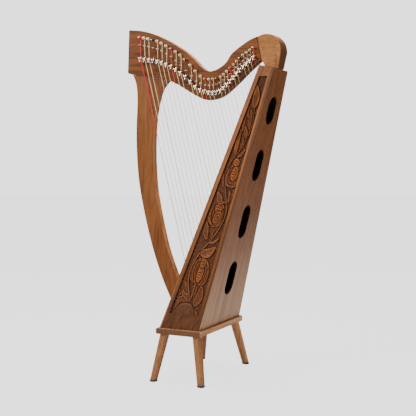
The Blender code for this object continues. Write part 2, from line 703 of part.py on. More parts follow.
def build_soundbox(strings):
    inside_front = front(-SOUNDBOARD_THICKNESS - GAP)
    inside_back = back(-BACK_THICKNESS - GAP)
    inside = [side(-1, -SIDE_THICKNESS - GAP), side(1, -SIDE_THICKNESS - GAP), inside_front, inside_back]
    build_side_panel("left_side_panel", -1)
    build_side_panel("right_side_panel", 1)

    board = new_object("soundboard", cell([
        front(0.0), flipped(front(-SOUNDBOARD_THICKNESS)), side(-1, 0.0), side(1, 0.0),
        floor_plane(BOX_BOTTOM), head(0.0)]), walnut())
    panel = new_object("back_panel", cell([
        back(0.0), flipped(back(-BACK_THICKNESS)), side(-1, 0.0), side(1, 0.0),
        floor_plane(BOX_BOTTOM), head(0.0)]), material("walnut_dark", WALNUT_DARK, 0.5))
    for height, length in HAND_HOLES:
        combine(panel, hand_hole_cutter(height, length), 'DIFFERENCE')

    base_top = BOX_BOTTOM + BASE_BOARD_THICKNESS
    new_object("base_board", cell(inside + [floor_plane(BOX_BOTTOM), ceiling_plane(base_top)]),
               material("walnut_dark", WALNUT_DARK, 0.5))
    new_object("top_block", cell(inside + [head(0.0), flipped(head(-TOP_BLOCK_DEPTH))]), walnut())

    depth, width = LINING_SIZE
    ends = [floor_plane(base_top + GAP), head(-TOP_BLOCK_DEPTH - GAP)]
    for name, sign in (("lining_left", -1), ("lining_right", 1)):
        new_object(name, cell(ends + [
            inside_front, flipped(front(-SOUNDBOARD_THICKNESS - GAP - depth)),
            side(sign, -SIDE_THICKNESS - GAP), flipped(side(sign, -SIDE_THICKNESS - GAP - width))]),
            material("spruce", SPRUCE, 0.6))

    rib = new_object("string_rib", cell([
        front(GAP + RIB_THICKNESS), flipped(front(GAP)), wall(-1, RIB_HALF_WIDTH), wall(1, RIB_HALF_WIDTH),
        floor_plane(RIB_Z[0]), ceiling_plane(RIB_Z[1])]), material("walnut_dark", WALNUT_DARK, 0.5))
    inner = new_object("inner_rib", cell([
        inside_front, flipped(front(-SOUNDBOARD_THICKNESS - GAP - INNER_RIB_THICKNESS)),
        wall(-1, INNER_RIB_HALF_WIDTH), wall(1, INNER_RIB_HALF_WIDTH),
        floor_plane(INNER_RIB_LOW), ends[1]]), material("spruce", SPRUCE, 0.6))
    holes = string_hole_cutter(strings)
    for piece in (rib, board, inner):
        combine(piece, holes, 'DIFFERENCE')
    return board


# ---------------------------------------------------------------- neck, shoulder and pillar

def build_neck():
    outline = smooth_line(NECK_TOP) + smooth_line(NECK_BOTTOM) + [PILLAR_JOINT[0], NECK_END[0]]
    neck = new_object("neck", prism(outline, -NECK_HALF, NECK_HALF), walnut())
    round_edges(neck, EDGE_ROUNDING)
    return neck


def build_shoulder():
    """Block that widens from the neck to the back and stands on the top of the soundbox."""
    seat, normal = head(GAP)
    seat_ends = [(x, seat.z - (x - seat.x) * normal.x / normal.z)
                 for x in (BOX_BACK_HEAD[0] - SHOULDER_INSET, SHOULDER_THROAT[0][0])]
    outline = smooth_line(SHOULDER_ARC) + seat_ends + list(SHOULDER_THROAT[1:])
    (x0, z0), (x1, z1) = NECK_TOP[-1], NECK_BOTTOM[0]
    square = Vector((z0 - z1, 0.0, x1 - x0)).normalized()
    outline = [(x + GAP * square.x, z + GAP * square.z) if (x, z) in ((x0, z0), (x1, z1)) else (x, z)
               for x, z in outline]
    shape = prism(outline, -NECK_HALF, NECK_HALF)
    reach = max(square.dot(Vector((x - x0, 0.0, z - z0))) for x, z in outline)
    for corner in shape.verts:
        away = max(0.0, square.dot(Vector((corner.co.x - x0, 0.0, corner.co.z - z0))))
        half = NECK_HALF + (SHOULDER_BACK_HALF - NECK_HALF) * away / reach
        corner.co.y = half if corner.co.y > 0 else -half
    block = new_object("shoulder_block", shape, material("walnut_light", WALNUT_LIGHT, 0.45))
    round_edges(block, EDGE_ROUNDING)


def build_pillar(board):
    """Bowed pillar between the neck and the foot of the soundboard, with its bolt."""
    drop = Vector((PILLAR_JOINT[1][1] - PILLAR_JOINT[0][1], 0.0, PILLAR_JOINT[0][0] - PILLAR_JOINT[1][0]))
    drop = drop.normalized() * GAP
    front_line = smooth_line(PILLAR_FRONT)
    back_line = smooth_line(PILLAR_BACK)
    outline = [(x + drop.x, z + drop.z) if (x, z) in PILLAR_JOINT else (x, z)
               for x, z in front_line + back_line]
    pillar = new_object("pillar", prism(outline, -PILLAR_HALF, PILLAR_HALF), walnut())
    round_edges(pillar, EDGE_ROUNDING)
    combine(pillar, guide("soundboard_room", cell([front(GAP)])), 'DIFFERENCE')
    facet_edge = Vector((FACET_EDGE[0][0], -PILLAR_HALF, FACET_EDGE[0][1]))
    facet_normal = slope_normal(*FACET_EDGE, 1) * FACET_SLOPE - Vector((0.0, 1.0, 0.0))
    combine(pillar, guide("string_facet", cell([(facet_edge, -facet_normal.normalized())])), 'DIFFERENCE')
    build_pillar_bolt(pillar, board)


def build_pillar_bolt(pillar, board):
    """Bolt from inside the soundbox, through the soundboard, into the pillar's foot."""
    face = Vector((front_x(PILLAR_BOLT_Z), 0.0, PILLAR_BOLT_Z))
    under_head = face - FRONT_NORMAL * (SOUNDBOARD_THICKNESS + GAP)
    mid_head = under_head - FRONT_NORMAL * (BOLT_HEAD_HEIGHT / 2)
    end = face + FRONT_NORMAL * PILLAR_BOLT_IN_WOOD
    bolt = bmesh.new()
    add_rod(bolt, mid_head, end, BOLT_RADIUS, ROUND_SIDES)
    bolt_head = bmesh.new()
    add_rod(bolt_head, under_head - FRONT_NORMAL * BOLT_HEAD_HEIGHT, under_head, BOLT_HEAD_RADIUS, PIN_SIDES)
    node = new_object("pillar_bolt", bolt, material("steel", STEEL, 0.4, 1.0))
    combine(node, guide("pillar_bolt_head", bolt_head), 'UNION')
    room = bmesh.new()
    add_rod(room, mid_head, end + FRONT_NORMAL * GAP, BOLT_RADIUS + BOLT_CLEARANCE, ROUND_SIDES)
    cutter = guide("pillar_bolt_room", room)
    combine(pillar, cutter, 'DIFFERENCE')
    combine(board, cutter, 'DIFFERENCE')


def build_harp():
    strings = [HarpString(index) for index in range(STRING_COUNT)]
    build_stand()
    board = build_soundbox(strings)
    neck = build_neck()
    build_shoulder()
    build_pillar(board)
    build_pins("tuning_pins", [one.pin_centre(one.tuning, TUNING_PIN_RADIUS) for one in strings],
               TUNING_PIN_RADIUS, TUNING_PIN_REACH, neck)
    build_pins("bridge_pins", [one.pin_centre(one.bridge, BRIDGE_PIN_RADIUS) for one in strings],
               BRIDGE_PIN_RADIUS, BRIDGE_PIN_REACH, neck)
    build_strings(strings)
    build_brackets(strings)
    build_levers(strings)


clear_scene()
build_harp()
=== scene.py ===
"""Looks of the lever harp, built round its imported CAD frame.  Metres, +Z up, the CAD's own axes."""
import json
import math

import bmesh
import bpy
import numpy as np
from mathutils import Matrix, Vector


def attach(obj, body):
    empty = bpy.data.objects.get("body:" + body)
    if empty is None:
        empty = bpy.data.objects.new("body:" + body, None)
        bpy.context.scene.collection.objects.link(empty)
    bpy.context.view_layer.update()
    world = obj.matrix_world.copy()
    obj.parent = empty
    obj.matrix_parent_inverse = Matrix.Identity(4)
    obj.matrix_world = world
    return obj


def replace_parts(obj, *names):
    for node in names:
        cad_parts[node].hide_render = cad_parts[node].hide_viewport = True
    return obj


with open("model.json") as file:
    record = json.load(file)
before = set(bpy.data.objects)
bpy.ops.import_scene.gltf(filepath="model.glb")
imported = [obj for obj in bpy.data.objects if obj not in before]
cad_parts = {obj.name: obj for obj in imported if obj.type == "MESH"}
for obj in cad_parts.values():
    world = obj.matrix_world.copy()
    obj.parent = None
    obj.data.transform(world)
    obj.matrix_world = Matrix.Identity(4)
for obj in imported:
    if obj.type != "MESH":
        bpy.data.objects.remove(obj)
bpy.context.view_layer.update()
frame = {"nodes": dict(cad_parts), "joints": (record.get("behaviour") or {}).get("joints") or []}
nodes = frame["nodes"]

HARP = "harp"
GAP = 0.0003  # between a string and a pin
X_AXIS, Y_AXIS = Vector((1.0, 0.0, 0.0)), Vector((0.0, 1.0, 0.0))
OUTWARD = Vector((0.0, -1.0, 0.0))  # out of the neck's face that carries the hardware

# Soundbox edges seen from the side (x, z), and its half widths
FRONT_FOOT, FRONT_HEAD = Vector((-0.0783, 0.165)), Vector((0.2138, 0.9686))
BACK_FOOT, BACK_HEAD = Vector((0.0579, 0.165)), Vector((0.2620, 0.9575))
HALF_WIDTH_FOOT, HALF_WIDTH_HEAD = 0.151, 0.0575
MEAN_HEAD_Z = (FRONT_HEAD.y + BACK_HEAD.y) / 2

# Recess of the side panels
RECESS_Z = (0.2126, 0.9342)
RECESS_BORDER = 0.0135
RECESS_FLOOR = -0.006
CLEARANCE = 0.0002  # of the carving in its recess
PANEL_CENTRE_FOOT, PANEL_CENTRE_HEAD = Vector((0.0046, 0.2126)), Vector((0.2286, 0.9342))

# Strings; pairs are for the bass and for the treble
STRING_RADIUS = (0.00095, 0.00042)
STRING_THINNING = 0.6  # power of the share of the way to the treble
STRING_LIFT = 0.0056  # of the place where a string bends, above the soundboard
STRING_END_DEPTH = 0.0186  # behind that face
WINDING_LENGTH, WINDING_STEPS = 0.0046, 14  # steps in a turn
LEVER_STANDOFF, BRIDGE_STANDOFF, PIN_STANDOFF = 0.0220, 0.0195, 0.0195
BRIDGE_SHIFT, TUNING_SHIFT = (0.0078, 0.0022), (0.0145, 0.0070)
PLACING_STEPS = 12

# Neck hardware
NECK_HALF = 0.013
BRIDGE_LINE = ((-0.2199, 1.0578), (-0.1561, 1.0416), (-0.1052, 1.0147), (-0.0717, 0.9870),
               (-0.0360, 0.9530), (-0.0183, 0.9345), (0.0139, 0.9195), (0.0425, 0.9170),
               (0.0672, 0.9240), (0.0795, 0.9310), (0.1100, 0.9560), (0.1450, 0.9860),
               (0.1800, 1.0125))
TUNING_LINE = ((-0.2190, 1.0824), (-0.1565, 1.0671), (-0.1077, 1.0409), (-0.0727, 1.0190),
               (-0.0377, 0.9872), (-0.0180, 0.9665), (-0.0006, 0.9490), (0.0159, 0.9395),
               (0.0438, 0.9365), (0.0692, 0.9412), (0.0921, 0.9571), (0.1135, 0.9770),
               (0.1363, 0.9965), (0.1578, 1.0125), (0.1826, 1.0270))
TUNING_PIN_RADIUS, TUNING_PIN_REACH, TUNING_PIN_START = 0.0024, 0.0298, 0.0040
SQUARE_HEAD_LENGTH = 0.0052
BRIDGE_PIN_RADIUS, BRIDGE_PIN_REACH, BRIDGE_PIN_START = 0.0013, 0.0243, 0.0045
FRET_REACH = 0.0207
EYELET_HEIGHT = 0.0041

# Levers and their brackets
HANDLE_REST_ANGLE = math.radians(40.0)
LEVER_TRAVEL = math.radians(110.0)
SLEEVED_RINGS = 4  # rings of the handle's root that are in the sleeve's colour
SHEET = (0.0010, 0.0002)  # thickness and rounding of the brackets' metal
METAL, SLEEVE = 0, 1  # material indices of a lever
NICKEL, BRASS, DARK = 0, 1, 2  # and of a bracket

# Sides of the round parts
STRING_SIDES, KNOT_SIDES, EYELET_SIDES = 6, 8, 14
TUNING_PIN_SIDES, SMALL_SIDES = 16, 12
HUB_SIDES, HANDLE_SIDES = 18, 16


# -------- meshes

def add_object(name, data):
    made = bpy.data.objects.new(name, data)
    bpy.context.scene.collection.objects.link(made)
    return made


def new_piece(name, shape, looks, sharp_angle, body=HARP):
    """A named object from a bmesh or a (vertices, faces) pair, riding on a body; looks is one
    material or a list."""
    mesh = bpy.data.meshes.new(name)
    if isinstance(shape, bmesh.types.BMesh):
        bmesh.ops.recalc_face_normals(shape, faces=shape.faces[:])
        shape.to_mesh(mesh)
        shape.free()
    else:
        vertices, faces = shape
        mesh.from_pydata(vertices, [], faces)
    for look in looks if isinstance(looks, list) else [looks]:
        mesh.materials.append(look)
    mesh.shade_smooth()
    mesh.set_sharp_from_angle(angle=math.radians(sharp_angle))
    piece = add_object(name, mesh)
    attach(piece, body)
    return piece


def ring(shape, centre, across, up, radius, sides, turn=0.0):
    """Vertices round a centre; radius may be a number or one number for each side."""
    made = []
    for side in range(sides):
        angle = 2 * math.pi * side / sides + turn
        reach = radius[side] if isinstance(radius, list) else radius
        spot = centre + (across * math.cos(angle) + up * math.sin(angle)) * reach
        made.append(shape.verts.new(spot))
    return made


def bridge(shape, low, high, look=0):
    """Faces between two rings."""
    for side in range(len(low)):
        after = (side + 1) % len(low)
        face = shape.faces.new((low[side], low[after], high[after], high[side]))
        face.material_index = look


def cap(shape, rings, look=0):
    """Faces over the first and the last ring."""
    for end in (rings[0][::-1], rings[-1]):
        shape.faces.new(end).material_index = look


def loft(shape, rings, look=0):
    """A closed skin over a row of rings."""
    for low, high in zip(rings, rings[1:]):
        bridge(shape, low, high, look)
    cap(shape, rings, look)


def frame_along(along):
    """Two directions square to the given one."""
    helper = Y_AXIS if abs(along.y) < 0.9 else X_AXIS
    across = along.cross(helper).normalized()
    return across, across.cross(along).normalized()


def tube(shape, path, radius, sides):
    """A closed tube along a path of points."""
    rings = []
    across = None
    for index, centre in enumerate(path):
        before, after = path[max(index - 1, 0)], path[min(index + 1, len(path) - 1)]
        along = (after - before).normalized()
        if across is None:
            across, _ = frame_along(along)
        across = (across - along * across.dot(along)).normalized()
        rings.append(ring(shape, centre, across, along.cross(across), radius, sides))
    loft(shape, rings)


def turned(shape, start, along, profile, sides, look=0):
    """A turned solid: the profile gives (distance along the axis, radius) from end to end."""
    across, up = frame_along(along)
    loft(shape, [ring(shape, start + along * distance, across, up, radius, sides)
                 for distance, radius in profile], look)


def slab(shape, outline, thickness, rounding, place, look):
    """A plate with rounded rims and the given (x, y) outline, on the place matrix's XY plane."""
    half = thickness / 2
    middle = Vector((sum(x for x, y in outline), sum(y for x, y in outline))) / len(outline)
    rings = []
    for height, inset in ((-half, rounding), (-half + rounding, 0.0),
                          (half - rounding, 0.0), (half, rounding)):
        loop = []
        for x, y in outline:
            outward = Vector((x, y)) - middle
            spot = middle + outward * (1.0 - inset / max(outward.length, 0.0001))
            loop.append(shape.verts.new(place @ Vector((spot.x, spot.y, height))))
        rings.append(loop)
    loft(shape, rings, look)


def smooth_line(points, steps=4):
    """Points along a Catmull-Rom curve through the given points."""
    spots = [np.array(p, float) for p in points]
    ends = [spots[0]] + spots + [spots[-1]]
    line = []
    for p0, p1, p2, p3 in zip(ends, ends[1:], ends[2:], ends[3:]):
        for t in np.arange(steps) / steps:
            line.append(0.5 * (2 * p1 + (p2 - p0) * t + (2 * p0 - 5 * p1 + 4 * p2 - p3) * t ** 2
                               + (3 * p1 - p0 - 3 * p2 + p3) * t ** 3))
    return np.array(line + [spots[-1]])


# -------- materials

NO_SHIFT = (0.0, 0.0, 0.0)


def scaled(color, factor):
    return tuple(factor * part for part in color)


class Graph:
    """A node material being written."""

    def __init__(self, name, **uniform):
        self.material = bpy.data.materials.new(name)
        self.material.use_nodes = True
        self.tree = self.material.node_tree
        self.shader = self.tree.nodes["Principled BSDF"]
        self.set(**uniform)

    def set(self, **values):
        """Give the shader's sockets their values; _ in a name stands for a space."""
        for name, value in values.items():
            self.feed(self.shader.inputs[name.replace("_", " ")], value)

    def feed(self, socket, value):
        if isinstance(value, bpy.types.NodeSocket):
            self.tree.links.new(value, socket)
        else:
            socket.default_value = value

    def add(self, kind, inputs, output=0, **settings):
        node = self.tree.nodes.new("ShaderNode" + kind)
        for name, value in settings.items():
            setattr(node, name, value)
        for key, value in inputs.items():
            self.feed(node.inputs[key], value)
        return node.outputs[output]

    def math(self, operation, *values):
        return self.add("Math", dict(enumerate(values)), operation=operation)

    def facing(self, direction):
        """How much the surface looks in a direction: the cosine of the angle between them."""
        normal = self.add("TexCoord", {}, "Normal")
        return self.add("VectorMath", {0: normal, 1: direction}, 1, operation="DOT_PRODUCT")

    def place(self, turn=NO_SHIFT, scale=(1.0, 1.0, 1.0), shift=NO_SHIFT):
        """Object coordinates, turned, then stretched."""
        coords = self.add("TexCoord", {}, "Object")
        spun = self.add("Mapping", {"Vector": coords, "Rotation": turn, "Location": shift})
        return self.add("Mapping", {"Vector": spun, "Scale": scale})

    def noise(self, vector, scale, detail=3.0, roughness=0.55, distortion=0.0):
        return self.add("TexNoise", {"Vector": vector, "Scale": scale, "Detail": detail,
                                     "Roughness": roughness, "Distortion": distortion})

    def figure(self, turn, scale, shift, *noise_settings):
        """Noise stretched along the grain, which the turn brings to X."""
        return self.noise(self.place(turn, scale, shift), 1.0, *noise_settings)

    def ramp(self, factor, stops):
        node = self.tree.nodes.new("ShaderNodeValToRGB")
        self.feed(node.inputs[0], factor)
        elements = node.color_ramp.elements
        for index, (position, color) in enumerate(stops):
            stop = elements[index] if index < 2 else elements.new(position)
            stop.position = position
            stop.color = (*color, 1.0)
        return node.outputs[0]

    def grey(self, factor, low, high, start=0.0, end=1.0):
        """The factor, from start to end, as a number from low to high."""
        return self.add("MapRange", {"Value": factor, "From Min": start, "From Max": end,
                                     "To Min": low, "To Max": high})

    def mix(self, factor, first, second):
        node = self.tree.nodes.new("ShaderNodeMix")
        node.data_type = "RGBA"
        for index, value in ((0, factor), (6, first), (7, second)):
            self.feed(node.inputs[index], (*value, 1.0) if isinstance(value, tuple) else value)
        return node.outputs[2]

    def bump(self, height, distance, strength):
        self.set(Normal=self.add("Bump", {"Height": height, "Distance": distance,
                                          "Strength": strength}))


def grain_turn(grain):
    return grain.normalized().rotation_difference(X_AXIS).to_euler()


def wood(name, grain, dark, mid, light, rings=1.0, shift=0.0, rough=(0.40, 0.58), contrast=1.0,
         flecks=1.0, light_paint=None):
    """Figured wood whose grain runs along a direction.

    rings scales the width of the growth rings, contrast how dark they are, and flecks how
    strong the short dark streaks are.  light_paint, if given, is (stops, colour, direction,
    painted shade edges) for painted light and shade: see paint_light_and_shade().
    """
    g = Graph(name)
    turn = grain_turn(grain)
    a, b, c = shift, shift * 0.7, shift * 0.4
    bands = g.figure(turn, (2.2, 26.0, 26.0), (a, b, c), 4.0, 0.6, 0.8)
    field = g.figure(turn, (1.1, 9.0 / rings, 9.0 / rings), (a, b, c), 2.0, 0.4, 0.3)
    spacing = g.figure(turn, (3.0, 60.0, 60.0), (a, b, c), 2.0, 0.5)
    phase = g.math("MULTIPLY_ADD", field, 150.0, g.grey(spacing, -3.5, 3.5))
    ring_lines = g.grey(g.math("SINE", phase), 0.0, 1.0, 0.10, 1.0)
    patches = g.figure(turn, (3.5, 30.0, 30.0), (b, c, a), 2.0)
    ring_lines = g.math("MULTIPLY", ring_lines, g.grey(patches, 0.10, 0.60 * contrast, 0.40, 0.62))
    long_flecks = g.figure(turn, (11.0, 210.0, 210.0), (c, a, b), 3.0, 0.6, 0.2)
    streaks = g.figure(turn, (9.0, 420.0, 420.0), (a, b, c), 5.0, 0.65, 0.3)
    pores = g.figure(turn, (70.0, 2100.0, 2100.0), (a, b, c), 2.0, 0.5)
    color = g.mix(g.grey(bands, 0.0, 1.0, 0.30, 0.70), mid, light)
    color = g.mix(ring_lines, color, dark)
    color = g.mix(g.grey(long_flecks, 0.0, 0.80 * flecks, 0.54, 0.68), color, dark)
    color = g.mix(g.grey(streaks, 0.0, 0.60 * contrast, 0.48, 0.72), color, dark)
    color = g.mix(g.grey(pores, 0.0, 0.55, 0.60, 0.72), color, scaled(dark, 0.6))
    # painted light and shade, if asked for
    if light_paint:
        veins = g.figure(turn, (1.2, 44.0, 44.0), (a, b, c), 6.0, 0.7, 0.5)
        color = paint_light_and_shade(g, color, dark, bands, veins, *light_paint)
    end_grain = g.math("ABSOLUTE", g.facing(grain.normalized()))
    color = g.mix(g.grey(end_grain, 0.0, 0.75, 0.60, 0.92), color, dark)
    g.set(Base_Color=color, Roughness=g.grey(streaks, *rough, 0.3, 0.7), Specular_IOR_Level=0.10)
    g.bump(g.math("ADD", streaks, g.grey(pores, 0.0, -0.5, 0.58, 0.72)), 0.00018, 0.5)
    return g.material


def paint_light_and_shade(g, color, dark, bands, veins, stops, painted_light_color, direction, painted_shade_edges):
    """Painted light and shade: wood that is painted paler, by the share at each height in the
    stops, where it looks in a direction.

    With painted shade edges, the faces that look elsewhere are painted in shade, and near the
    board's middle, where they are the walls of its holes, painted almost black.
    """
    coords = g.add("TexCoord", {}, "Object")
    height = g.math("ADD", g.add("SeparateXYZ", {"Vector": coords}, 2), g.grey(bands, -0.08, 0.08))
    outer = g.grey(g.facing(direction), 0.0, 1.0, 0.80, 0.97)
    # painted light: paler colour, by height, on the faces that look in the direction
    painted_light_share = g.ramp(height, [(place, (share, share, share)) for place, share in stops])
    grained_painted_light = g.mix(g.grey(veins, 0.0, 0.95, 0.46, 0.64), painted_light_color, scaled(painted_light_color, 0.45))
    color = g.mix(g.math("MULTIPLY", painted_light_share, outer), color, g.mix(0.80, color, grained_painted_light))
    if painted_shade_edges:
        aside = g.math("ABSOLUTE", g.add("SeparateXYZ", {"Vector": coords}, 1))
        # painted shade: faces turned away go dark, and the walls of the holes nearly black
        wall = g.math("MULTIPLY", g.grey(outer, 1.0, 0.0), g.grey(aside, 1.0, 0.0, 0.042, 0.046))
        color = g.mix(g.grey(outer, 0.85, 0.0), color, dark)
        color = g.mix(wall, color, (0.008, 0.005, 0.004))
    return color


def carved_wood(name, grain):
    """Walnut coloured by the mesh's attributes: tone, painted light and shade by how each shape
    faces the light, from 0 on the ground to 1, and crest, from 0 in a hollow to 1 on a ridge,
    which paints highlights on the ridges and shade in the hollows."""
    g = Graph(name, Specular_IOR_Level=0.07)
    turn = grain_turn(grain)
    tone = g.add("Attribute", {}, 2, attribute_name="tone")
    crest = g.add("Attribute", {}, 2, attribute_name="crest")
    streaks = g.figure(turn, (9.0, 190.0, 190.0), NO_SHIFT, 5.0, 0.65, 0.5)
    cuts = g.figure(turn, (160.0, 420.0, 420.0), NO_SHIFT, 3.0, 0.6)
    scoops = g.figure(turn, (30.0, 60.0, 60.0), NO_SHIFT, 2.0, 0.5)
    tone = g.math("MULTIPLY", tone, g.grey(scoops, 0.65, 1.20, 0.35, 0.65))
    # painted light and shade: the ground darkest, the shapes that face the light lightest
    color = g.ramp(tone, ((0.0, (0.069, 0.023, 0.009)), (0.30, (0.082, 0.028, 0.011)),
                          (0.55, (0.104, 0.035, 0.013)), (1.0, (0.230, 0.064, 0.015))))
    # painted highlight on the ridges
    color = g.mix(g.grey(crest, 0.0, 0.60, 0.57, 0.88), color, (0.300, 0.096, 0.027))
    # painted shade, nearly black, in the hollows and grooves
    color = g.mix(g.grey(crest, 0.94, 0.0, 0.10, 0.47), color, (0.014, 0.006, 0.004))
    color = g.mix(g.grey(streaks, 0.0, 0.6, 0.48, 0.75), color, (0.050, 0.022, 0.012))
    g.set(Base_Color=color, Roughness=g.grey(cuts, 0.34, 0.55, 0.3, 0.7))
    g.bump(g.math("ADD", cuts, streaks), 0.0003, 0.45)
    return g.material


def metal(name, color, rough):
    """Polished plate with faint rubbing marks and darker patches."""
    g = Graph(name, Metallic=1.0)
    marks = g.noise(g.place(), 900.0, 3.0, 0.6)
    broad = g.noise(g.place(), 120.0, 2.0)
    g.set(Base_Color=g.mix(g.grey(broad, 0.0, 0.35, 0.35, 0.75), color, scaled(color, 0.72)),
          Roughness=g.grey(marks, *rough, 0.3, 0.7))
    g.bump(marks, 0.00004, 0.4)
    return g.material


def gut(name, color, deep):
    """String: slightly cloudy, with a fine twist along it."""
    g = Graph(name, Specular_IOR_Level=0.3)
    cloud = g.noise(g.place(), 160.0, 3.0, 0.6)
    twist = g.noise(g.place(scale=(1.0, 1.0, 2.4)), 900.0, 2.0)
    g.set(Base_Color=g.mix(g.grey(cloud, 0.0, 1.0, 0.35, 0.70), color, deep),
          Roughness=g.grey(twist, 0.28, 0.48, 0.3, 0.7))
    g.bump(twist, 0.00003, 0.5)
    return g.material


def enamel(name, color):
    """The coloured sleeves of the C and F levers, worn darker in places."""
    g = Graph(name, Specular_IOR_Level=0.5, Coat_Weight=0.35, Coat_Roughness=0.15)
    wear = g.noise(g.place(), 700.0, 3.0, 0.6)
    g.set(Base_Color=g.mix(g.grey(wear, 0.0, 0.5, 0.45, 0.8), color, scaled(color, 0.6)),
          Roughness=g.grey(wear, 0.25, 0.45, 0.3, 0.7))
    return g.material


def rubber(name):
    g = Graph(name, Specular_IOR_Level=0.35)
    grit = g.noise(g.place(), 1400.0, 4.0, 0.7)
    g.set(Base_Color=g.mix(g.grey(grit, 0.0, 1.0, 0.4, 0.75),
                           (0.012, 0.012, 0.013), (0.045, 0.043, 0.041)),
          Roughness=g.grey(grit, 0.62, 0.90, 0.3, 0.7))
    g.bump(grit, 0.0002, 0.5)
    return g.material


# -------- soundbox geometry

def on_edge(foot, head, height):
    """Where the edge from foot to head is, along X, at a height."""
    return foot.x + (head.x - foot.x) * (height - foot.y) / (head.y - foot.y)


def edge_normal(foot, head, hand):
    run = (head - foot).normalized()
    return Vector((run.y * hand, 0.0, -run.x * hand))


FRONT_NORMAL = edge_normal(FRONT_FOOT, FRONT_HEAD, -1)
BACK_NORMAL = edge_normal(BACK_FOOT, BACK_HEAD, 1)
BOX_GRAIN = Vector((FRONT_HEAD.x + BACK_HEAD.x - FRONT_FOOT.x - BACK_FOOT.x, 0.0,
                    FRONT_HEAD.y + BACK_HEAD.y - FRONT_FOOT.y - BACK_FOOT.y)).normalized()


# -------- carving of the side panels
# The relief is drawn in millimetres on the panel: (along its centre line from the recess's foot,
# across it towards the box's back).  Heights are from the panel's face, so below it they are
# negative.

MM_PER_M = 1000
GROUND = -5.3  # the wood between the shapes
FLUSH = -0.25  # the highest that a shape may reach
SCOOP_DEPTH = 0.75  # of the tool marks on the ground
RIM_WIDTH, RIM_STEP = 0.9, 0.25  # a shape's rounded rim, and the share of it that stands upright
CURVE_STEPS = 6
CARVING_ROWS, CARVING_COLUMNS = 640, 100
PLAIN_RISE, PLAIN_END = 0.93, 42  # nearly flush, and this close to the foot: uncarved wood


def blurred(field, reach):
    """Mean over a square window."""
    total = np.zeros_like(field)
    padded = np.pad(field, reach, mode="edge")
    for row in range(2 * reach + 1):
        for column in range(2 * reach + 1):
            total += padded[row:row + field.shape[0], column:column + field.shape[1]]
    return total / (2 * reach + 1) ** 2


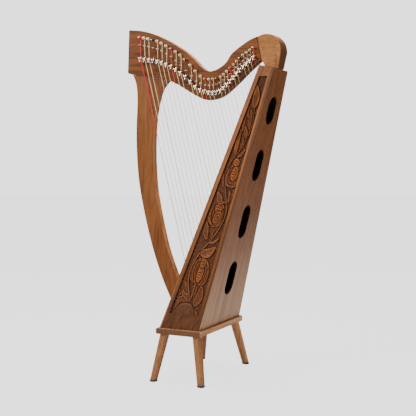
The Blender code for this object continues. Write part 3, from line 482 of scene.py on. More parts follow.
class Relief:
    """A height field that carved shapes are laid into, one over another."""

    def __init__(self, along, across):
        self.along, self.across = along, across
        scoops = blurred(np.random.default_rng(11).standard_normal(along.shape), 2)
        self.height = GROUND + SCOOP_DEPTH * scoops / scoops.std()
        # painted light and shade of each point: 0 on the ground
        self.tone = np.zeros_like(along)

    def nearest(self, line):
        """For each point: distance to the line, share of the way along it, and its side of it."""
        best = np.full(self.along.shape, 1e9)
        share = np.zeros_like(best)
        hand = np.zeros_like(best)
        for index, (start, end) in enumerate(zip(line, line[1:])):
            run = end - start
            length = max(float(run @ run), 1e-9)
            da, db = self.along - start[0], self.across - start[1]
            t = np.clip((da * run[0] + db * run[1]) / length, 0.0, 1.0)
            gap = np.hypot(da - t * run[0], db - t * run[1])
            closer = gap < best
            best = np.where(closer, gap, best)
            share = np.where(closer, (index + t) / (len(line) - 1), share)
            hand = np.where(closer, np.sign(run[0] * db - run[1] * da), hand)
        return best, share, hand

    def lay(self, outside, top, groove=1.5, tone=0.5):
        """Lay a shape on the relief: outside is the distance beyond its rim, negative inside it.

        top is the shape's surface, groove the width of the cut round it, and tone the painted
        light and shade of the shape, from 0 for the ground to 1.
        """
        rim = np.clip(-outside / RIM_WIDTH, 0.0, 1.0)
        rim = rim * rim * (3 - 2 * rim)
        sunk = np.minimum(self.height, GROUND)
        beside = np.clip(outside / groove, 0.0, 1.0)
        cut = np.where(outside < groove, sunk + (self.height - sunk) * beside ** 2, self.height)
        raised = sunk + (top - sunk) * np.maximum(rim, RIM_STEP)
        self.height = np.where(outside < 0.0, raised, cut)
        # the shape's painted light and shade
        self.tone = np.where(outside < 0.0, tone, self.tone)

    def leaf(self, spine, width, top, veins, hollow=0.9, tilt=0.0, fullness=0.75, tone=0.45):
        """A pointed leaf on a curved midrib, cupped, with side veins or, without them, with lines
        along it."""
        gap, share, hand = self.nearest(smooth_line(spine, CURVE_STEPS))
        half = 0.5 * width * np.sin(np.pi * np.clip(share, 0.0, 1.0) ** fullness) ** 0.85
        outside = np.where((share <= 0.0) | (share >= 1.0), gap, gap - half)
        spread = np.clip(gap / np.maximum(half, 0.3), 0.0, 1.0)
        surface = top - hollow * (0.35 + np.cos(spread * np.pi)) * 0.9
        surface += 0.75 * np.exp(-(gap / 0.9) ** 2)  # the midrib
        if veins:
            vein = np.cos(2 * np.pi * (share * veins - spread * 0.9))
            surface += vein * spread * (1 - spread) * 2.4
        else:
            surface += 0.55 * np.cos(2 * np.pi * gap / 3.0)
        surface += tilt * hand * spread
        self.lay(outside, np.minimum(surface, FLUSH), tone=tone)

    def stem(self, points, radius, top, taper):
        """A round stem that thins to a share of its radius."""
        gap, share, _ = self.nearest(smooth_line(points, CURVE_STEPS))
        size = radius * (1 - (1 - taper) * share)
        round_top = np.sqrt(np.clip(1 - (gap / size) ** 2, 0.0, 1.0))
        self.lay(gap - size, top - size + size * round_top, 1.1)

    def oval(self, centre, half_long, half_wide, lean):
        """For each point: its distance from a leaning oval's centre as a share of the oval's size,
        how far it is beyond the rim, and where it is along the oval's two axes."""
        ca, sa = math.cos(lean), math.sin(lean)
        da, db = self.along - centre[0], self.across - centre[1]
        length, breadth = da * ca + db * sa, -da * sa + db * ca
        radius = np.hypot(length / half_long, breadth / half_wide)
        return radius, (radius - 1.0) * min(half_long, half_wide), length, breadth

    def cup(self, centre, half_long, half_wide, lean, top, depth):
        """The rolled outer petals of a flower: two raised rims round a hollow."""
        radius, outside, _, breadth = self.oval(centre, half_long, half_wide, lean)
        rim = (np.exp(-((radius - 0.88) / 0.10) ** 2)
               + 0.75 * np.exp(-((radius - 0.62) / 0.07) ** 2))
        surface = top - depth * (1 - rim) + 0.45 * np.cos(breadth * 1.5) * (radius < 0.8)
        self.lay(outside, np.minimum(surface, FLUSH), tone=0.15)

    def heart(self, centre, half_long, half_wide, lean, top, ribs, slant=0.0):
        """The domed middle of a flower, with curved ribs across it: more ribs, closer together."""
        radius, outside, length, breadth = self.oval(centre, half_long, half_wide, lean)
        dome = np.sqrt(np.clip(1 - radius ** 2 * 0.85, 0.0, 1.0))
        rib = np.cos(1.5 * ribs * (length + slant * breadth + 0.12 * breadth ** 2))
        surface = top - 2.2 * (1 - dome) - 1.7 * (1 - rib) * np.clip(1.2 - radius, 0, 1)
        self.lay(outside, np.minimum(surface, FLUSH), 2.2, tone=0.85)

    def rose(self, centre, half_long, half_wide, lean, top, turns):
        """Petals rolled in a spiral."""
        radius, outside, length, breadth = self.oval(centre, half_long, half_wide, lean)
        bearing = np.arctan2(breadth / half_wide, length / half_long)
        petal = np.cos(2 * np.pi * turns * radius - bearing)
        surface = top - 1.2 * radius - 1.1 * (1 - petal)
        self.lay(outside, np.minimum(surface, FLUSH), 2.2, tone=0.55)

    def mound(self, arch):
        """Plain wood left standing at the foot of the panel, under an arched edge."""
        line = smooth_line(arch, CURVE_STEPS)
        edge = np.interp(self.across, line[:, 1], line[:, 0], left=-99.0, right=-99.0)
        gap, _, _ = self.nearest(line)
        outside = np.where(self.along < edge, -gap, gap)
        self.lay(outside, FLUSH - 3.6 * np.exp(np.minimum(outside, 0.0) / 4.5), 2.2, tone=0.1)


def carve_vine(relief):
    """The flowering vine, from the foot of the panel to its head."""
    leaf, stem, cup, heart = relief.leaf, relief.stem, relief.cup, relief.heart
    # foot: sprouting leaves and the first flower on its own short stem
    leaf(((36, 20), (56, 27), (80, 29), (104, 23)), 25, -1.6, 6, 1.2, -0.4)
    leaf(((22, 30), (8, 38), (-6, 42)), 13, -2.4, 4)
    leaf(((60, -13), (80, -24), (96, -34)), 12, -3.0, 4)
    leaf(((30, -8), (43, -26), (22, -36), (2, -38)), 13, -2.6, 4, 0.8)
    leaf(((36, 3), (52, -9), (56, -22), (70, -31)), 19, -0.9, 7, 1.0, 0.3)
    leaf(((58, 9), (80, 11), (98, 9)), 7, -2.8, 4)
    cup((141, 5), 43, 29, 0.0, -1.1, 2.4)
    leaf(((99, -4), (118, -19), (150, -20), (176, -12)), 13, -1.5, 7, 0.9, 0.5, tone=0.1)
    leaf(((99, 12), (112, 26), (134, 31), (162, 30)), 12, -1.4, 7, 0.9, -0.5, tone=0.1)
    heart((134, 7), 30, 10.5, 0.0, -0.4, 0.50)
    heart((168, 6), 18, 10, 0.0, -0.8, 0.48)
    stem(((40, 3), (66, 4), (99, 4)), 3.0, -0.8, 0.9)
    # main stem, sweeping left round the flower and then up to the right
    stem(((44, 2), (66, -8), (94, -21), (128, -27), (163, -24), (195, -14), (232, 2), (262, 14),
          (292, 22), (322, 26), (348, 23), (364, 10)), 2.7, -0.7, 0.8)
    leaf(((192, -14), (196, 2), (206, 15), (228, 29)), 29, -0.6, 5, 1.1, -0.3, 0.85, 0.7)
    leaf(((232, 1), (236, 14), (246, 24), (258, 31)), 9, -1.0, 4, 0.5)
    leaf(((237, -8), (256, -18), (274, -21), (290, -27)), 18, -1.4, 6, 0.9, 0.4)
    leaf(((240, 8), (262, 3), (276, 6)), 8, -2.6, 3)
    # second flower, rolled like a shell
    cup((320, -2), 40, 22, 0.05, -1.0, 2.6)
    leaf(((284, -6), (296, -20), (322, -24), (350, -18)), 9, -0.8, 6, 0.5, 0.4)
    leaf(((284, 4), (294, 14), (316, 17), (344, 14)), 9, -0.7, 6, 0.5, -0.4)
    heart((338, -3), 15, 12, -0.3, -0.9, 0.50, 0.8)
    relief.rose((310, 2), 23, 14, 0.15, -0.6, 2.4)
    leaf(((361, 9), (360, -4), (372, -12), (386, -24)), 20, -0.7, 6, 1.0, 0.3, 0.9)
    # second sweep of the stem
    stem(((360, 18), (378, 9), (398, 0), (418, -9), (442, -14), (470, -15), (496, -10)),
         2.3, -0.7, 0.8)
    leaf(((366, 21), (384, 20), (402, 13)), 11, -1.0, 4, 0.6)
    leaf(((372, 25), (392, 26), (412, 25)), 7, -2.8, 3)
    leaf(((404, -10), (424, -20), (446, -24)), 9, -2.8, 4)
    # third flower
    cup((446, 7), 38, 21, 0.0, -1.0, 2.4)
    leaf(((410, 8), (420, -6), (446, -11), (474, -8)), 9, -0.8, 6, 0.5, 0.4)
    leaf(((410, 14), (422, 24), (446, 26), (470, 24)), 8, -0.9, 6, 0.5, -0.4)
    heart((453, 11), 24, 12, 0.0, -0.4, 0.48, 0.9)
    heart((488, 5), 13, 11, 0.0, -0.9, 0.50)
    # leaves and buds up the narrow part
    stem(((496, -9), (512, -2), (534, 7), (560, 12), (590, 16), (618, 15), (642, 9), (660, 5)),
         1.9, -0.7, 0.8)
    leaf(((504, 2), (512, 10), (522, 16), (538, 21)), 11, -0.7, 4, 0.7)
    leaf(((506, -6), (530, -11), (556, -12), (582, -11)), 13, -0.6, 0, 0.9, 0.2, tone=0.8)
    leaf(((530, 1), (550, 4), (572, 2)), 7, -1.6, 4, 0.5)
    leaf(((562, 10), (584, 3), (602, -9)), 12, -0.9, 0, 0.8, 0.2)
    leaf(((580, -8), (604, -12), (628, -12)), 8, -1.8, 4, 0.5)
    leaf(((590, 13), (612, 6), (640, 1), (652, -4)), 11, -0.7, 0, 0.8)
    leaf(((622, -4), (640, -10), (656, -10)), 7, -1.8, 4, 0.5)
    leaf(((640, 13), (660, 17), (688, 17)), 6, -1.8, 4, 0.5)
    leaf(((656, 4), (676, 2), (700, -2), (726, -9)), 23, -0.5, 0, 1.1, 0.0, 0.9, 0.7)
    relief.mound(((-40, -52), (-14, -42), (12, -33), (27, -22), (35, -9), (38, 4), (33, 16),
                  (22, 26), (6, 33), (-10, 37)))


def carving_grid(rows, columns):
    """Points of the recess's opening, as (row, column) arrays of x and z."""
    foot_z, head_z = RECESS_Z
    heights = np.linspace(foot_z + CLEARANCE, head_z - CLEARANCE, rows)
    front_inset = RECESS_BORDER / (-FRONT_NORMAL.x) + CLEARANCE
    back_inset = RECESS_BORDER / BACK_NORMAL.x + CLEARANCE
    front = np.array([on_edge(FRONT_FOOT, FRONT_HEAD, z) + front_inset for z in heights])
    back = np.array([on_edge(BACK_FOOT, BACK_HEAD, z) - back_inset for z in heights])
    share = np.linspace(0.0, 1.0, columns)[None, :]
    x = front[:, None] * (1 - share) + back[:, None] * share
    return x, np.repeat(heights[:, None], columns, 1)


def slab_faces(index, rim):
    """Faces of a slab: the grid on top, walls down from its rim, and one face underneath."""
    quads = np.stack((index[:-1, :-1], index[:-1, 1:], index[1:, 1:], index[1:, :-1]), -1)
    faces = quads.reshape(-1, 4).tolist()
    first = index.size
    for spot, here in enumerate(rim):
        after = (spot + 1) % len(rim)
        faces.append([int(index[here]), first + spot, first + after, int(index[rim[after]])])
    faces.append([first + spot for spot in range(len(rim))][::-1])
    return faces


def build_carving(name, sign, looks):
    """The carved ground and vine of one side panel, as a closed slab lying in the recess."""
    rows, columns = CARVING_ROWS, CARVING_COLUMNS
    x, z = carving_grid(rows, columns)
    foot, head = PANEL_CENTRE_FOOT, PANEL_CENTRE_HEAD
    run = (head - foot).normalized()
    along = ((x - foot.x) * run.x + (z - foot.y) * run.y) * MM_PER_M
    across = ((x - foot.x) * run.y - (z - foot.y) * run.x) * MM_PER_M
    relief = Relief(along, across)
    carve_vine(relief)
    height = np.clip(relief.height, GROUND - 0.4, FLUSH)
    height = 0.55 * height + 0.45 * blurred(height, 1)
    # crest: ridge or hollow, for the painted highlights and shade
    crest = np.clip(0.5 + (height - blurred(height, 3)) / 2.4, 0.0, 1.0)

    taper = (HALF_WIDTH_FOOT - HALF_WIDTH_HEAD) / (MEAN_HEAD_Z - FRONT_FOOT.y)
    outward = np.array((0.0, sign, taper)) / math.hypot(1.0, taper)
    face = np.stack((x, sign * (HALF_WIDTH_FOOT - taper * (z - FRONT_FOOT.y)), z), -1)
    top = (face + outward * (height[..., None] / MM_PER_M)).reshape(-1, 3)
    rim = ([(0, c) for c in range(columns)] + [(r, columns - 1) for r in range(1, rows)]
           + [(rows - 1, c) for c in range(columns - 2, -1, -1)]
           + [(r, 0) for r in range(rows - 2, 0, -1)])
    floor = np.array([face[spot] + outward * (RECESS_FLOOR + CLEARANCE) for spot in rim])
    faces = slab_faces(np.arange(rows * columns).reshape(rows, columns), rim)
    if sign > 0:
        faces = [corners[::-1] for corners in faces]
    vertices = np.concatenate((top, floor)).tolist()
    mesh = new_piece(name, (vertices, faces), looks, sharp_angle=60.0).data

    for label, values in (("tone", blurred(relief.tone, 1)), ("crest", crest)):
        values = np.concatenate((values.ravel(), np.zeros(len(rim)))).astype(np.float32)
        mesh.attributes.new(label, "FLOAT", "POINT").data.foreach_set("value", values)
    # the plain wood at the foot shares the panel's own figure
    plain = ((height - GROUND) / (FLUSH - GROUND) > PLAIN_RISE) & (along < PLAIN_END)
    plain_faces = (plain[:-1, :-1] & plain[1:, 1:]).ravel()
    material_index = np.zeros(len(mesh.polygons), np.int32)
    material_index[:len(plain_faces)] = plain_faces
    mesh.polygons.foreach_set("material_index", material_index)


# -------- strings, pins and levers

class HarpString:
    """The places that one string passes, and its lever; strings count from the bass."""

    def __init__(self, index, joint, count):
        share = index / (count - 1)
        thick, thin = STRING_RADIUS
        self.number = index + 1
        self.kind = {0: "red", 3: "blue"}.get(index % 7, "clear")
        self.radius = thick + (thin - thick) * share ** STRING_THINNING
        self.axle = Vector(joint["pos_m"])
        self.across = -Vector(joint["axis"])
        self.body = joint["child"]
        self.up = Vector((-self.across.z, 0.0, self.across.x))
        middle = Vector((self.axle.x, 0.0, self.axle.z))
        board = Vector((FRONT_FOOT.x, 0.0, FRONT_FOOT.y)) + FRONT_NORMAL * STRING_LIFT
        drop = (middle - board).dot(FRONT_NORMAL) / self.up.dot(FRONT_NORMAL)
        self.rib = middle - self.up * drop
        self.lever = middle - Vector((0.0, LEVER_STANDOFF, 0.0))
        self.bridge = self.place_on(BRIDGE_LINE, BRIDGE_SHIFT, BRIDGE_STANDOFF, share)
        self.tuning = self.place_on(TUNING_LINE, TUNING_SHIFT, PIN_STANDOFF, share)
        self.hole = self.rib - FRONT_NORMAL * STRING_LIFT

    def place_on(self, line, shift, standoff, share):
        """Where the string passes a line of pins, a little to the side of its sounding length."""
        aside = shift[0] + (shift[1] - shift[0]) * share
        points = smooth_line(line)
        height = 1.0
        for _ in range(PLACING_STEPS):
            x = self.rib.x - (height - self.rib.z) * self.across.z / self.across.x + aside
            height = float(np.interp(x, points[:, 0], points[:, 1]))
        return Vector((x, -standoff, height))


def pin_centre(one, place, radius):
    """Centre of the pin that the string bears on at a place, in the neck's middle plane."""
    centre = place - one.across * (radius + one.radius + GAP)
    return Vector((centre.x, 0.0, centre.z))


def build_string(one, look):
    """One string: wound on its tuning pin, over the bridge pin and lever, into the soundboard."""
    pin = pin_centre(one, one.tuning, TUNING_PIN_RADIUS)
    winding = TUNING_PIN_RADIUS + one.radius + GAP
    pitch = 2.1 * one.radius
    turns = min(max(round(WINDING_LENGTH / pitch), 3), 5)
    path = []
    for step in range(turns * WINDING_STEPS, -1, -1):
        angle = 2 * math.pi * step / WINDING_STEPS
        around = (one.across * math.cos(angle) + one.up * math.sin(angle)) * winding
        path.append(pin + around + OUTWARD * (PIN_STANDOFF + pitch * step / WINDING_STEPS))
    path += [one.tuning.lerp(one.bridge, 0.5), one.bridge, one.lever,
             one.lever.lerp(one.rib, 0.33), one.lever.lerp(one.rib, 0.66), one.rib, one.hole,
             one.hole - FRONT_NORMAL * STRING_END_DEPTH]
    shape = bmesh.new()
    tube(shape, path, one.radius, STRING_SIDES)
    turned(shape, path[-1] - FRONT_NORMAL * 0.0012, FRONT_NORMAL,
           ((0.0, 0.0006), (0.0005, 0.0016), (0.0016, 0.0019), (0.0027, 0.0016), (0.0032, 0.0006)),
           KNOT_SIDES)
    return new_piece("string_%02d" % one.number, shape, look, sharp_angle=60.0)


def build_tuning_pin(one, look):
    """A steel pin with a turned shank and a chamfered square head that the tuning key fits."""
    radius = TUNING_PIN_RADIUS
    start = pin_centre(one, one.tuning, radius) + OUTWARD * TUNING_PIN_START
    shoulder = TUNING_PIN_REACH - TUNING_PIN_START - SQUARE_HEAD_LENGTH
    shape = bmesh.new()
    turned(shape, start, OUTWARD,
           ((0.0, radius * 0.9), (0.0006, radius), (shoulder - 0.0008, radius),
            (shoulder, radius * 0.90)), TUNING_PIN_SIDES)
    turn = math.radians(20 * one.number % 90)
    angles = [2 * math.pi * side / TUNING_PIN_SIDES for side in range(TUNING_PIN_SIDES)]
    square = [radius * 0.72 / max(abs(math.cos(angle)), abs(math.sin(angle))) for angle in angles]
    rings = []
    for distance, size in ((-0.0004, 1.0), (0.0040, 0.95), (0.0048, 0.84),
                           (SQUARE_HEAD_LENGTH, 0.60)):
        corners = [min(reach * size, radius * 0.93) for reach in square]
        rings.append(ring(shape, start + OUTWARD * (shoulder + distance), one.across, one.up,
                          corners, TUNING_PIN_SIDES, turn))
    loft(shape, rings)
    return new_piece("tuning_pin_%02d" % one.number, shape, look, sharp_angle=35.0)


def build_bridge_pin(one, look):
    """A small pin with a collar at the wood, a groove for the string and a domed end."""
    radius = BRIDGE_PIN_RADIUS
    start = pin_centre(one, one.bridge, radius) + OUTWARD * BRIDGE_PIN_START
    groove = BRIDGE_STANDOFF - BRIDGE_PIN_START
    end = BRIDGE_PIN_REACH - BRIDGE_PIN_START
    collar = NECK_HALF - BRIDGE_PIN_START + GAP
    shape = bmesh.new()
    turned(shape, start, OUTWARD, (
        (0.0, radius), (collar, radius), (collar + 0.0002, radius * 1.9),
        (collar + 0.0010, radius * 1.9), (collar + 0.0013, radius), (groove - 0.0010, radius),
        (groove - 0.0004, radius * 0.92), (groove + 0.0004, radius * 0.92),
        (groove + 0.0012, radius * 1.10), (end - 0.0005, radius * 1.12), (end, radius * 0.65)),
        SMALL_SIDES)
    return new_piece("bridge_pin_%02d" % one.number, shape, look, sharp_angle=35.0)


def lever_place(one):
    """Axes at a lever: X along its axle, -Y away from the neck, Z up the string."""
    turn = Matrix((one.across, Y_AXIS, one.up)).transposed().to_4x4()
    return Matrix.Translation(one.axle) @ turn


def build_lever(one, looks):
    """Hub in a coloured or plain sleeve, with its cam nose and a flattened teardrop handle."""
    shape = bmesh.new()
    turned(shape, Vector((-0.0026, 0.0, 0.0)), X_AXIS, (
        (0.0, 0.0020), (0.0004, 0.0024), (0.0015, 0.0024), (0.0018, 0.0022), (0.0034, 0.0022),
        (0.0037, 0.0024), (0.0048, 0.0024), (0.0052, 0.0020)), HUB_SIDES, SLEEVE)
    nose = Vector((0.0, math.cos(LEVER_TRAVEL), math.sin(LEVER_TRAVEL)))
    flat = nose.cross(X_AXIS)
    loft(shape, [[shape.verts.new(nose * reach + X_AXIS * a * wide + flat * b * thick)
                  for a, b in ((1, 1), (-1, 1), (-1, -1), (1, -1))]
                 for reach, thick, wide in ((0.0010, 0.0017, 0.0016), (0.0024, 0.0013, 0.0015),
                                            (0.0031, 0.0010, 0.0014), (0.0034, 0.0005, 0.0011))],
         METAL)
    angle = -math.pi / 2 - HANDLE_REST_ANGLE
    handle = Vector((0.0, math.cos(angle), math.sin(angle)))
    edge = handle.cross(X_AXIS)
    angles = [2 * math.pi * side / HANDLE_SIDES for side in range(HANDLE_SIDES)]
    rings = []
    for distance, wide, thick in (
            (0.0010, 0.0013, 0.0013), (0.0026, 0.0012, 0.0012), (0.0036, 0.0010, 0.0010),
            (0.0052, 0.0011, 0.0010), (0.0072, 0.0017, 0.0014), (0.0094, 0.0023, 0.0018),
            (0.0112, 0.0024, 0.0019), (0.0126, 0.0020, 0.0016), (0.0134, 0.0013, 0.0011),
            (0.0137, 0.0005, 0.0004)):
        rings.append([shape.verts.new(handle * distance + X_AXIS * wide * math.cos(angle)
                                      + edge * thick * math.sin(angle)) for angle in angles])
    for index, (low, high) in enumerate(zip(rings, rings[1:])):
        bridge(shape, low, high, SLEEVE if index < SLEEVED_RINGS else METAL)
    cap(shape, rings, METAL)
    shape.transform(lever_place(one))
    return new_piece("sharping_lever_%02d" % one.number, shape, looks,
                     sharp_angle=35.0, body=one.body)


def build_bracket(one, looks):
    """Stamped bracket: base plate with its screw, two pronged cheeks, the fret and the rivet."""
    place = lever_place(one)
    shape = bmesh.new()
    wall = -NECK_HALF - 0.0004 - one.axle.y
    base = Matrix.Translation((0.0, wall - 0.0006, -0.0010)) @ Matrix.Rotation(math.pi / 2, 4, "X")
    slab(shape, ((-0.0042, -0.0066), (0.0042, -0.0066), (0.0044, -0.0030), (0.0044, 0.0040),
                 (0.0030, 0.0072), (-0.0030, 0.0072), (-0.0044, 0.0040), (-0.0044, -0.0030)),
         *SHEET, place @ base, DARK)
    cheek = ((wall - 0.0008, -0.0034), (0.0012, -0.0034), (-0.0014, -0.0028), (-0.0024, -0.0010),
             (-0.0024, 0.0010), (-0.0016, 0.0030), (-0.0012, 0.0060), (-0.0016, 0.0088),
             (-0.0006, 0.0096), (0.0004, 0.0090), (0.0010, 0.0062), (0.0030, 0.0042),
             (wall - 0.0008, 0.0040))
    stand_up = Matrix(((0, 0, 1, 0), (1, 0, 0, 0), (0, 1, 0, 0), (0, 0, 0, 1)))
    for sign in (-1, 1):
        flare = Matrix.Rotation(math.radians(5.0 * sign), 4, "Y")
        stand = Matrix.Translation((sign * 0.0036, 0.0, 0.0)) @ flare @ stand_up
        slab(shape, cheek, *SHEET, place @ stand, NICKEL)
    turned(shape, place @ Vector((-0.0047, 0.0, 0.0)), place.to_3x3() @ X_AXIS, (
        (0.0, 0.0009), (0.0003, 0.0014), (0.0007, 0.0014), (0.0008, 0.0008), (0.0086, 0.0008),
        (0.0087, 0.0014), (0.0091, 0.0014), (0.0094, 0.0009)), SMALL_SIDES, NICKEL)
    inner, outer = wall - 0.0010, -FRET_REACH - one.axle.y
    fret = Matrix.Translation((0.0, (inner + outer) / 2, -0.0002))
    half = (outer - inner) / 2
    slab(shape, ((-0.0024, half), (0.0024, half), (0.0024, -half), (-0.0024, -half)),
         0.0014, 0.0003, place @ fret, BRASS)
    turned(shape, place @ Vector((0.0, wall - 0.0011, -0.0052)), OUTWARD,
           ((0.0, 0.0013), (0.0005, 0.0013), (0.0008, 0.0010), (0.0009, 0.0004)),
           SMALL_SIDES, NICKEL)
    return new_piece("lever_bracket_%02d" % one.number, shape, looks, sharp_angle=30.0)


def build_eyelets(strings, look):
    """Turned ferrules round the string holes in the rib."""
    shape = bmesh.new()
    across, up = frame_along(FRONT_NORMAL)
    for one in strings:
        start = one.hole + FRONT_NORMAL * EYELET_HEIGHT
        inner, outer = 0.0011 + one.radius, 0.0024 + one.radius
        profile = ((-0.0010, outer), (0.0004, outer), (0.0008, outer - 0.0004),
                   (0.0009, inner + 0.0003), (0.0006, inner), (-0.0010, inner))
        rings = [ring(shape, start + FRONT_NORMAL * distance, across, up, radius, EYELET_SIDES)
                 for distance, radius in profile]
        for low, high in zip(rings, rings[1:] + rings[:1]):
            bridge(shape, low, high)
    new_piece("string_eyelets", shape, look, sharp_angle=35.0)


# -------- build

def paint(name, look):
    """Give a carried-over CAD node its finished material."""
    for material_slot in nodes[name].material_slots:
        material_slot.material = look


UPRIGHT = Vector((0.06, 0.0, 1.0))  # nearly: this grain leans a little
EVERYWHERE = ((0.0, 1.0), (1.0, 1.0))  # stops of painted light that is the same at all heights

# painted highlight: the side faces paler at mid heights; painted shade: faces turned away dark
side_looks = [
    wood("walnut_side", BOX_GRAIN, (0.024, 0.010, 0.005), (0.071, 0.024, 0.008),
         (0.108, 0.038, 0.013), shift=0.31, contrast=0.9,
         light_paint=(((0.24, 0.0), (0.62, 1.0), (0.80, 1.0), (0.93, 0.60)), (0.290, 0.094, 0.022),
               Vector((0.0, hand, 0.0)), True))
    for hand in (-1.0, 1.0)]
carved_look = carved_wood("walnut_carved", BOX_GRAIN)
# painted sheen: paler colour on the faces that look up and to +X, the top rim lit from above
neck_look = wood(
    "walnut_neck", Vector((1.0, 0.0, -0.06)), (0.034, 0.011, 0.003), (0.114, 0.032, 0.006),
    (0.180, 0.055, 0.010), shift=0.12,
    light_paint=(EVERYWHERE, (0.520, 0.275, 0.140), Vector((0.60, 0.0, 0.80)), False))
# painted light: paler colour on the inner face that looks to +X, lit from the right
pillar_look = wood(
    "walnut_pillar", UPRIGHT, (0.060, 0.019, 0.006), (0.142, 0.044, 0.010),
    (0.198, 0.069, 0.018), rings=1.3, shift=0.52, contrast=0.7,
    light_paint=(EVERYWHERE, (0.560, 0.235, 0.095), X_AXIS, False))
shoulder_look = wood(
    "walnut_shoulder", Vector((1.0, 0.0, -0.10)), (0.046, 0.014, 0.004), (0.270, 0.096, 0.025),
    (0.367, 0.151, 0.048), rings=0.9, shift=0.77, flecks=0.5)
# painted reflection: a pale sheen low on the back, as the floor mirrored in it; painted shade: faces
# turned away dark, the sound holes' walls almost black
back_look = wood(
    "walnut_back", Vector((0.255, 0.0, 1.0)), (0.066, 0.022, 0.006), (0.160, 0.052, 0.011),
    (0.217, 0.072, 0.019), rings=1.2, shift=0.91, rough=(0.32, 0.46), contrast=0.8,
    light_paint=(((0.22, 1.0), (0.33, 0.62), (0.41, 0.22), (0.53, 0.0)), (0.375, 0.205, 0.106),
          BACK_NORMAL, True))
board_look = wood(
    "walnut_board", BOX_GRAIN, (0.055, 0.020, 0.008), (0.164, 0.059, 0.020),
    (0.227, 0.087, 0.031), shift=0.23, contrast=0.8)
rib_look = wood(
    "walnut_rib", BOX_GRAIN, (0.031, 0.013, 0.005), (0.074, 0.028, 0.011),
    (0.109, 0.042, 0.016), rings=0.6, shift=0.4)
# painted light: paler colour on the face that looks to +X, lit from the right
plate_look = wood(
    "walnut_plate", Y_AXIS, (0.066, 0.027, 0.011), (0.250, 0.104, 0.043),
    (0.330, 0.150, 0.065), rings=0.8, shift=0.66, contrast=0.7,
    light_paint=(EVERYWHERE, (0.560, 0.254, 0.108), X_AXIS, False))
leg_look = wood(
    "walnut_leg", UPRIGHT, (0.105, 0.041, 0.016), (0.228, 0.091, 0.035),
    (0.280, 0.122, 0.050), rings=0.6, shift=0.15, contrast=0.5)
# painted light: a paler copy of the leg wood, for the leg that looks lit
painted_lit_leg_look = wood(
    "walnut_leg_painted_lit", UPRIGHT, (0.165, 0.066, 0.026), (0.385, 0.156, 0.060),
    (0.460, 0.205, 0.085), rings=0.6, shift=0.15, contrast=0.5)
spruce_look = wood(
    "spruce", BOX_GRAIN, (0.340, 0.200, 0.090), (0.540, 0.360, 0.180),
    (0.640, 0.460, 0.260), rings=0.4)
nickel_look = metal("nickel", (0.760, 0.590, 0.410), (0.12, 0.26))
steel_look = metal("pin_steel", (0.500, 0.420, 0.320), (0.20, 0.38))
brass_look = metal("brass", (0.700, 0.480, 0.200), (0.22, 0.40))
bolt_look = metal("bolt_steel", (0.200, 0.190, 0.175), (0.30, 0.50))
rubber_look = rubber("rubber")
string_looks = {"red": gut("string_red", (0.930, 0.012, 0.040), (0.800, 0.008, 0.030)),
                "blue": gut("string_blue", (0.014, 0.016, 0.026), (0.008, 0.009, 0.016)),
                "clear": gut("string_clear", (0.900, 0.680, 0.390), (0.820, 0.580, 0.310))}
sleeve_looks = {"red": enamel("sleeve_red", (0.900, 0.045, 0.018)),
                "blue": enamel("sleeve_blue", (0.025, 0.080, 0.480)),
                "clear": nickel_look}

for node_name, node_look in (
        ("neck", neck_look), ("pillar", pillar_look), ("shoulder_block", shoulder_look),
        ("left_side_panel", side_looks[0]), ("right_side_panel", side_looks[1]),
        ("soundboard", board_look), ("back_panel", back_look), ("base_board", rib_look),
        ("top_block", rib_look), ("lining_left", spruce_look), ("lining_right", spruce_look),
        ("inner_rib", spruce_look), ("string_rib", rib_look), ("stand_plate", plate_look),
        ("pillar_bolt", bolt_look)):
    paint(node_name, node_look)
# the back right leg gets the painted-light copy of the leg wood
for corner, corner_look in (("front_left", leg_look), ("front_right", leg_look),
                            ("back_left", leg_look), ("back_right", painted_lit_leg_look)):
    paint("leg_" + corner, corner_look)
    paint("foot_pad_" + corner, rubber_look)
    paint("leg_bolt_" + corner, bolt_look)

build_carving("left_carving", -1, [carved_look, side_looks[0]])
build_carving("right_carving", 1, [carved_look, side_looks[1]])

levers = frame["joints"]
strings = [HarpString(index, joint, len(levers)) for index, joint in enumerate(levers)]
for one in strings:
    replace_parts(build_string(one, string_looks[one.kind]), "strings")
    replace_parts(build_tuning_pin(one, steel_look), "tuning_pins")
    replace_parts(build_bridge_pin(one, steel_look), "bridge_pins")
    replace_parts(build_bracket(one, [nickel_look, brass_look, bolt_look]), "lever_brackets")
    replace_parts(build_lever(one, [nickel_look, sleeve_looks[one.kind]]), "lever_%02d" % one.number)
build_eyelets(strings, brass_look)


# -------- stage

WHITE = (1.0, 1.0, 1.0, 1.0)
BACKDROP, AMBIENT = 2.25, 0.24  # strength of the world: as the camera sees it, and as a light
FLOOR_RADIUS, FLOOR_SIDES = 14.0, 96
FLOOR_DROP = 0.0002
FLOOR_GLOW = 2.10
# name, place, the point it is aimed at, diameter in metres, power in watts
LIGHTS = (("key", (-1.5, -2.6, 2.1), (0.0, 0.0, 0.6), 1.5, 128.0),
          ("top", (0.1, 0.1, 3.0), (0.0, 0.0, 0.4), 2.0, 185.0),
          ("fill", (2.3, -0.8, 0.5), (0.1, 0.0, 0.3), 1.2, 13.0))
CAMERA_PLACE = (1.2187, -2.4588, 0.6824)
CAMERA_TILT, CAMERA_BEARING = 3.1598, 26.0776  # degrees down from level, and round Z from +Y
CAMERA_LENS, CAMERA_SENSOR = 74.506, 36.0
CAMERA_CLIP = (0.05, 60.0)


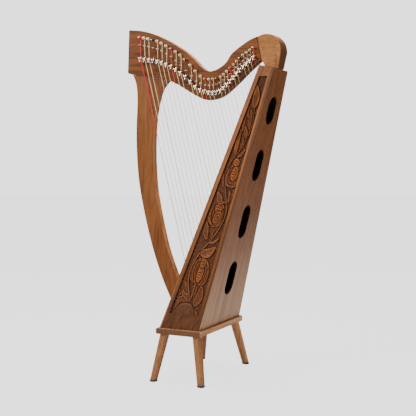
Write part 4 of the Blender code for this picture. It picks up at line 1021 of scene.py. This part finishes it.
def build_floor():
    """Pale paper, about as bright as the backdrop where the camera looks at it."""
    shape = bmesh.new()
    bmesh.ops.create_circle(shape, cap_ends=True, radius=FLOOR_RADIUS, segments=FLOOR_SIDES)
    mesh = bpy.data.meshes.new("floor")
    shape.to_mesh(mesh)
    shape.free()
    floor = add_object("floor", mesh)
    floor.location.z = -FLOOR_DROP
    g = Graph("floor_paper", Specular_IOR_Level=0.0, Roughness=1.0)
    seen = g.add("LightPath", {}, "Is Camera Ray")
    g.set(Base_Color=g.mix(seen, (0.62, 0.62, 0.62), (0.10, 0.10, 0.10)), Emission_Color=WHITE,
          Emission_Strength=g.math("MULTIPLY", seen, FLOOR_GLOW))
    mesh.materials.append(g.material)


def area_light(name, place, target, size, power):
    light = bpy.data.lights.new(name, "AREA")
    light.shape = "DISK"
    light.size = size
    light.energy = power
    lamp = add_object(name, light)
    lamp.location = place
    lamp.rotation_euler = (Vector(target) - Vector(place)).to_track_quat("-Z", "Y").to_euler()


def build_camera():
    data = bpy.data.cameras.new("camera")
    data.lens = CAMERA_LENS
    data.sensor_width = CAMERA_SENSOR
    data.clip_start, data.clip_end = CAMERA_CLIP
    camera = add_object("camera", data)
    camera.location = CAMERA_PLACE
    camera.rotation_euler = (math.radians(90.0 - CAMERA_TILT), 0.0, math.radians(CAMERA_BEARING))
    bpy.context.scene.camera = camera


def build_world():
    """A backdrop that is brighter than the light it gives."""
    world = bpy.data.worlds.new("studio")
    world.use_nodes = True
    tree = world.node_tree
    sky = tree.nodes["Background"]
    sky.inputs["Color"].default_value = WHITE
    seen = tree.nodes.new("ShaderNodeLightPath").outputs["Is Camera Ray"]
    level = tree.nodes.new("ShaderNodeMapRange")
    tree.links.new(seen, level.inputs["Value"])
    level.inputs["To Min"].default_value = AMBIENT
    level.inputs["To Max"].default_value = BACKDROP
    tree.links.new(level.outputs[0], sky.inputs["Strength"])
    bpy.context.scene.world = world


build_floor()
build_world()
for light in LIGHTS:
    area_light(*light)
build_camera()
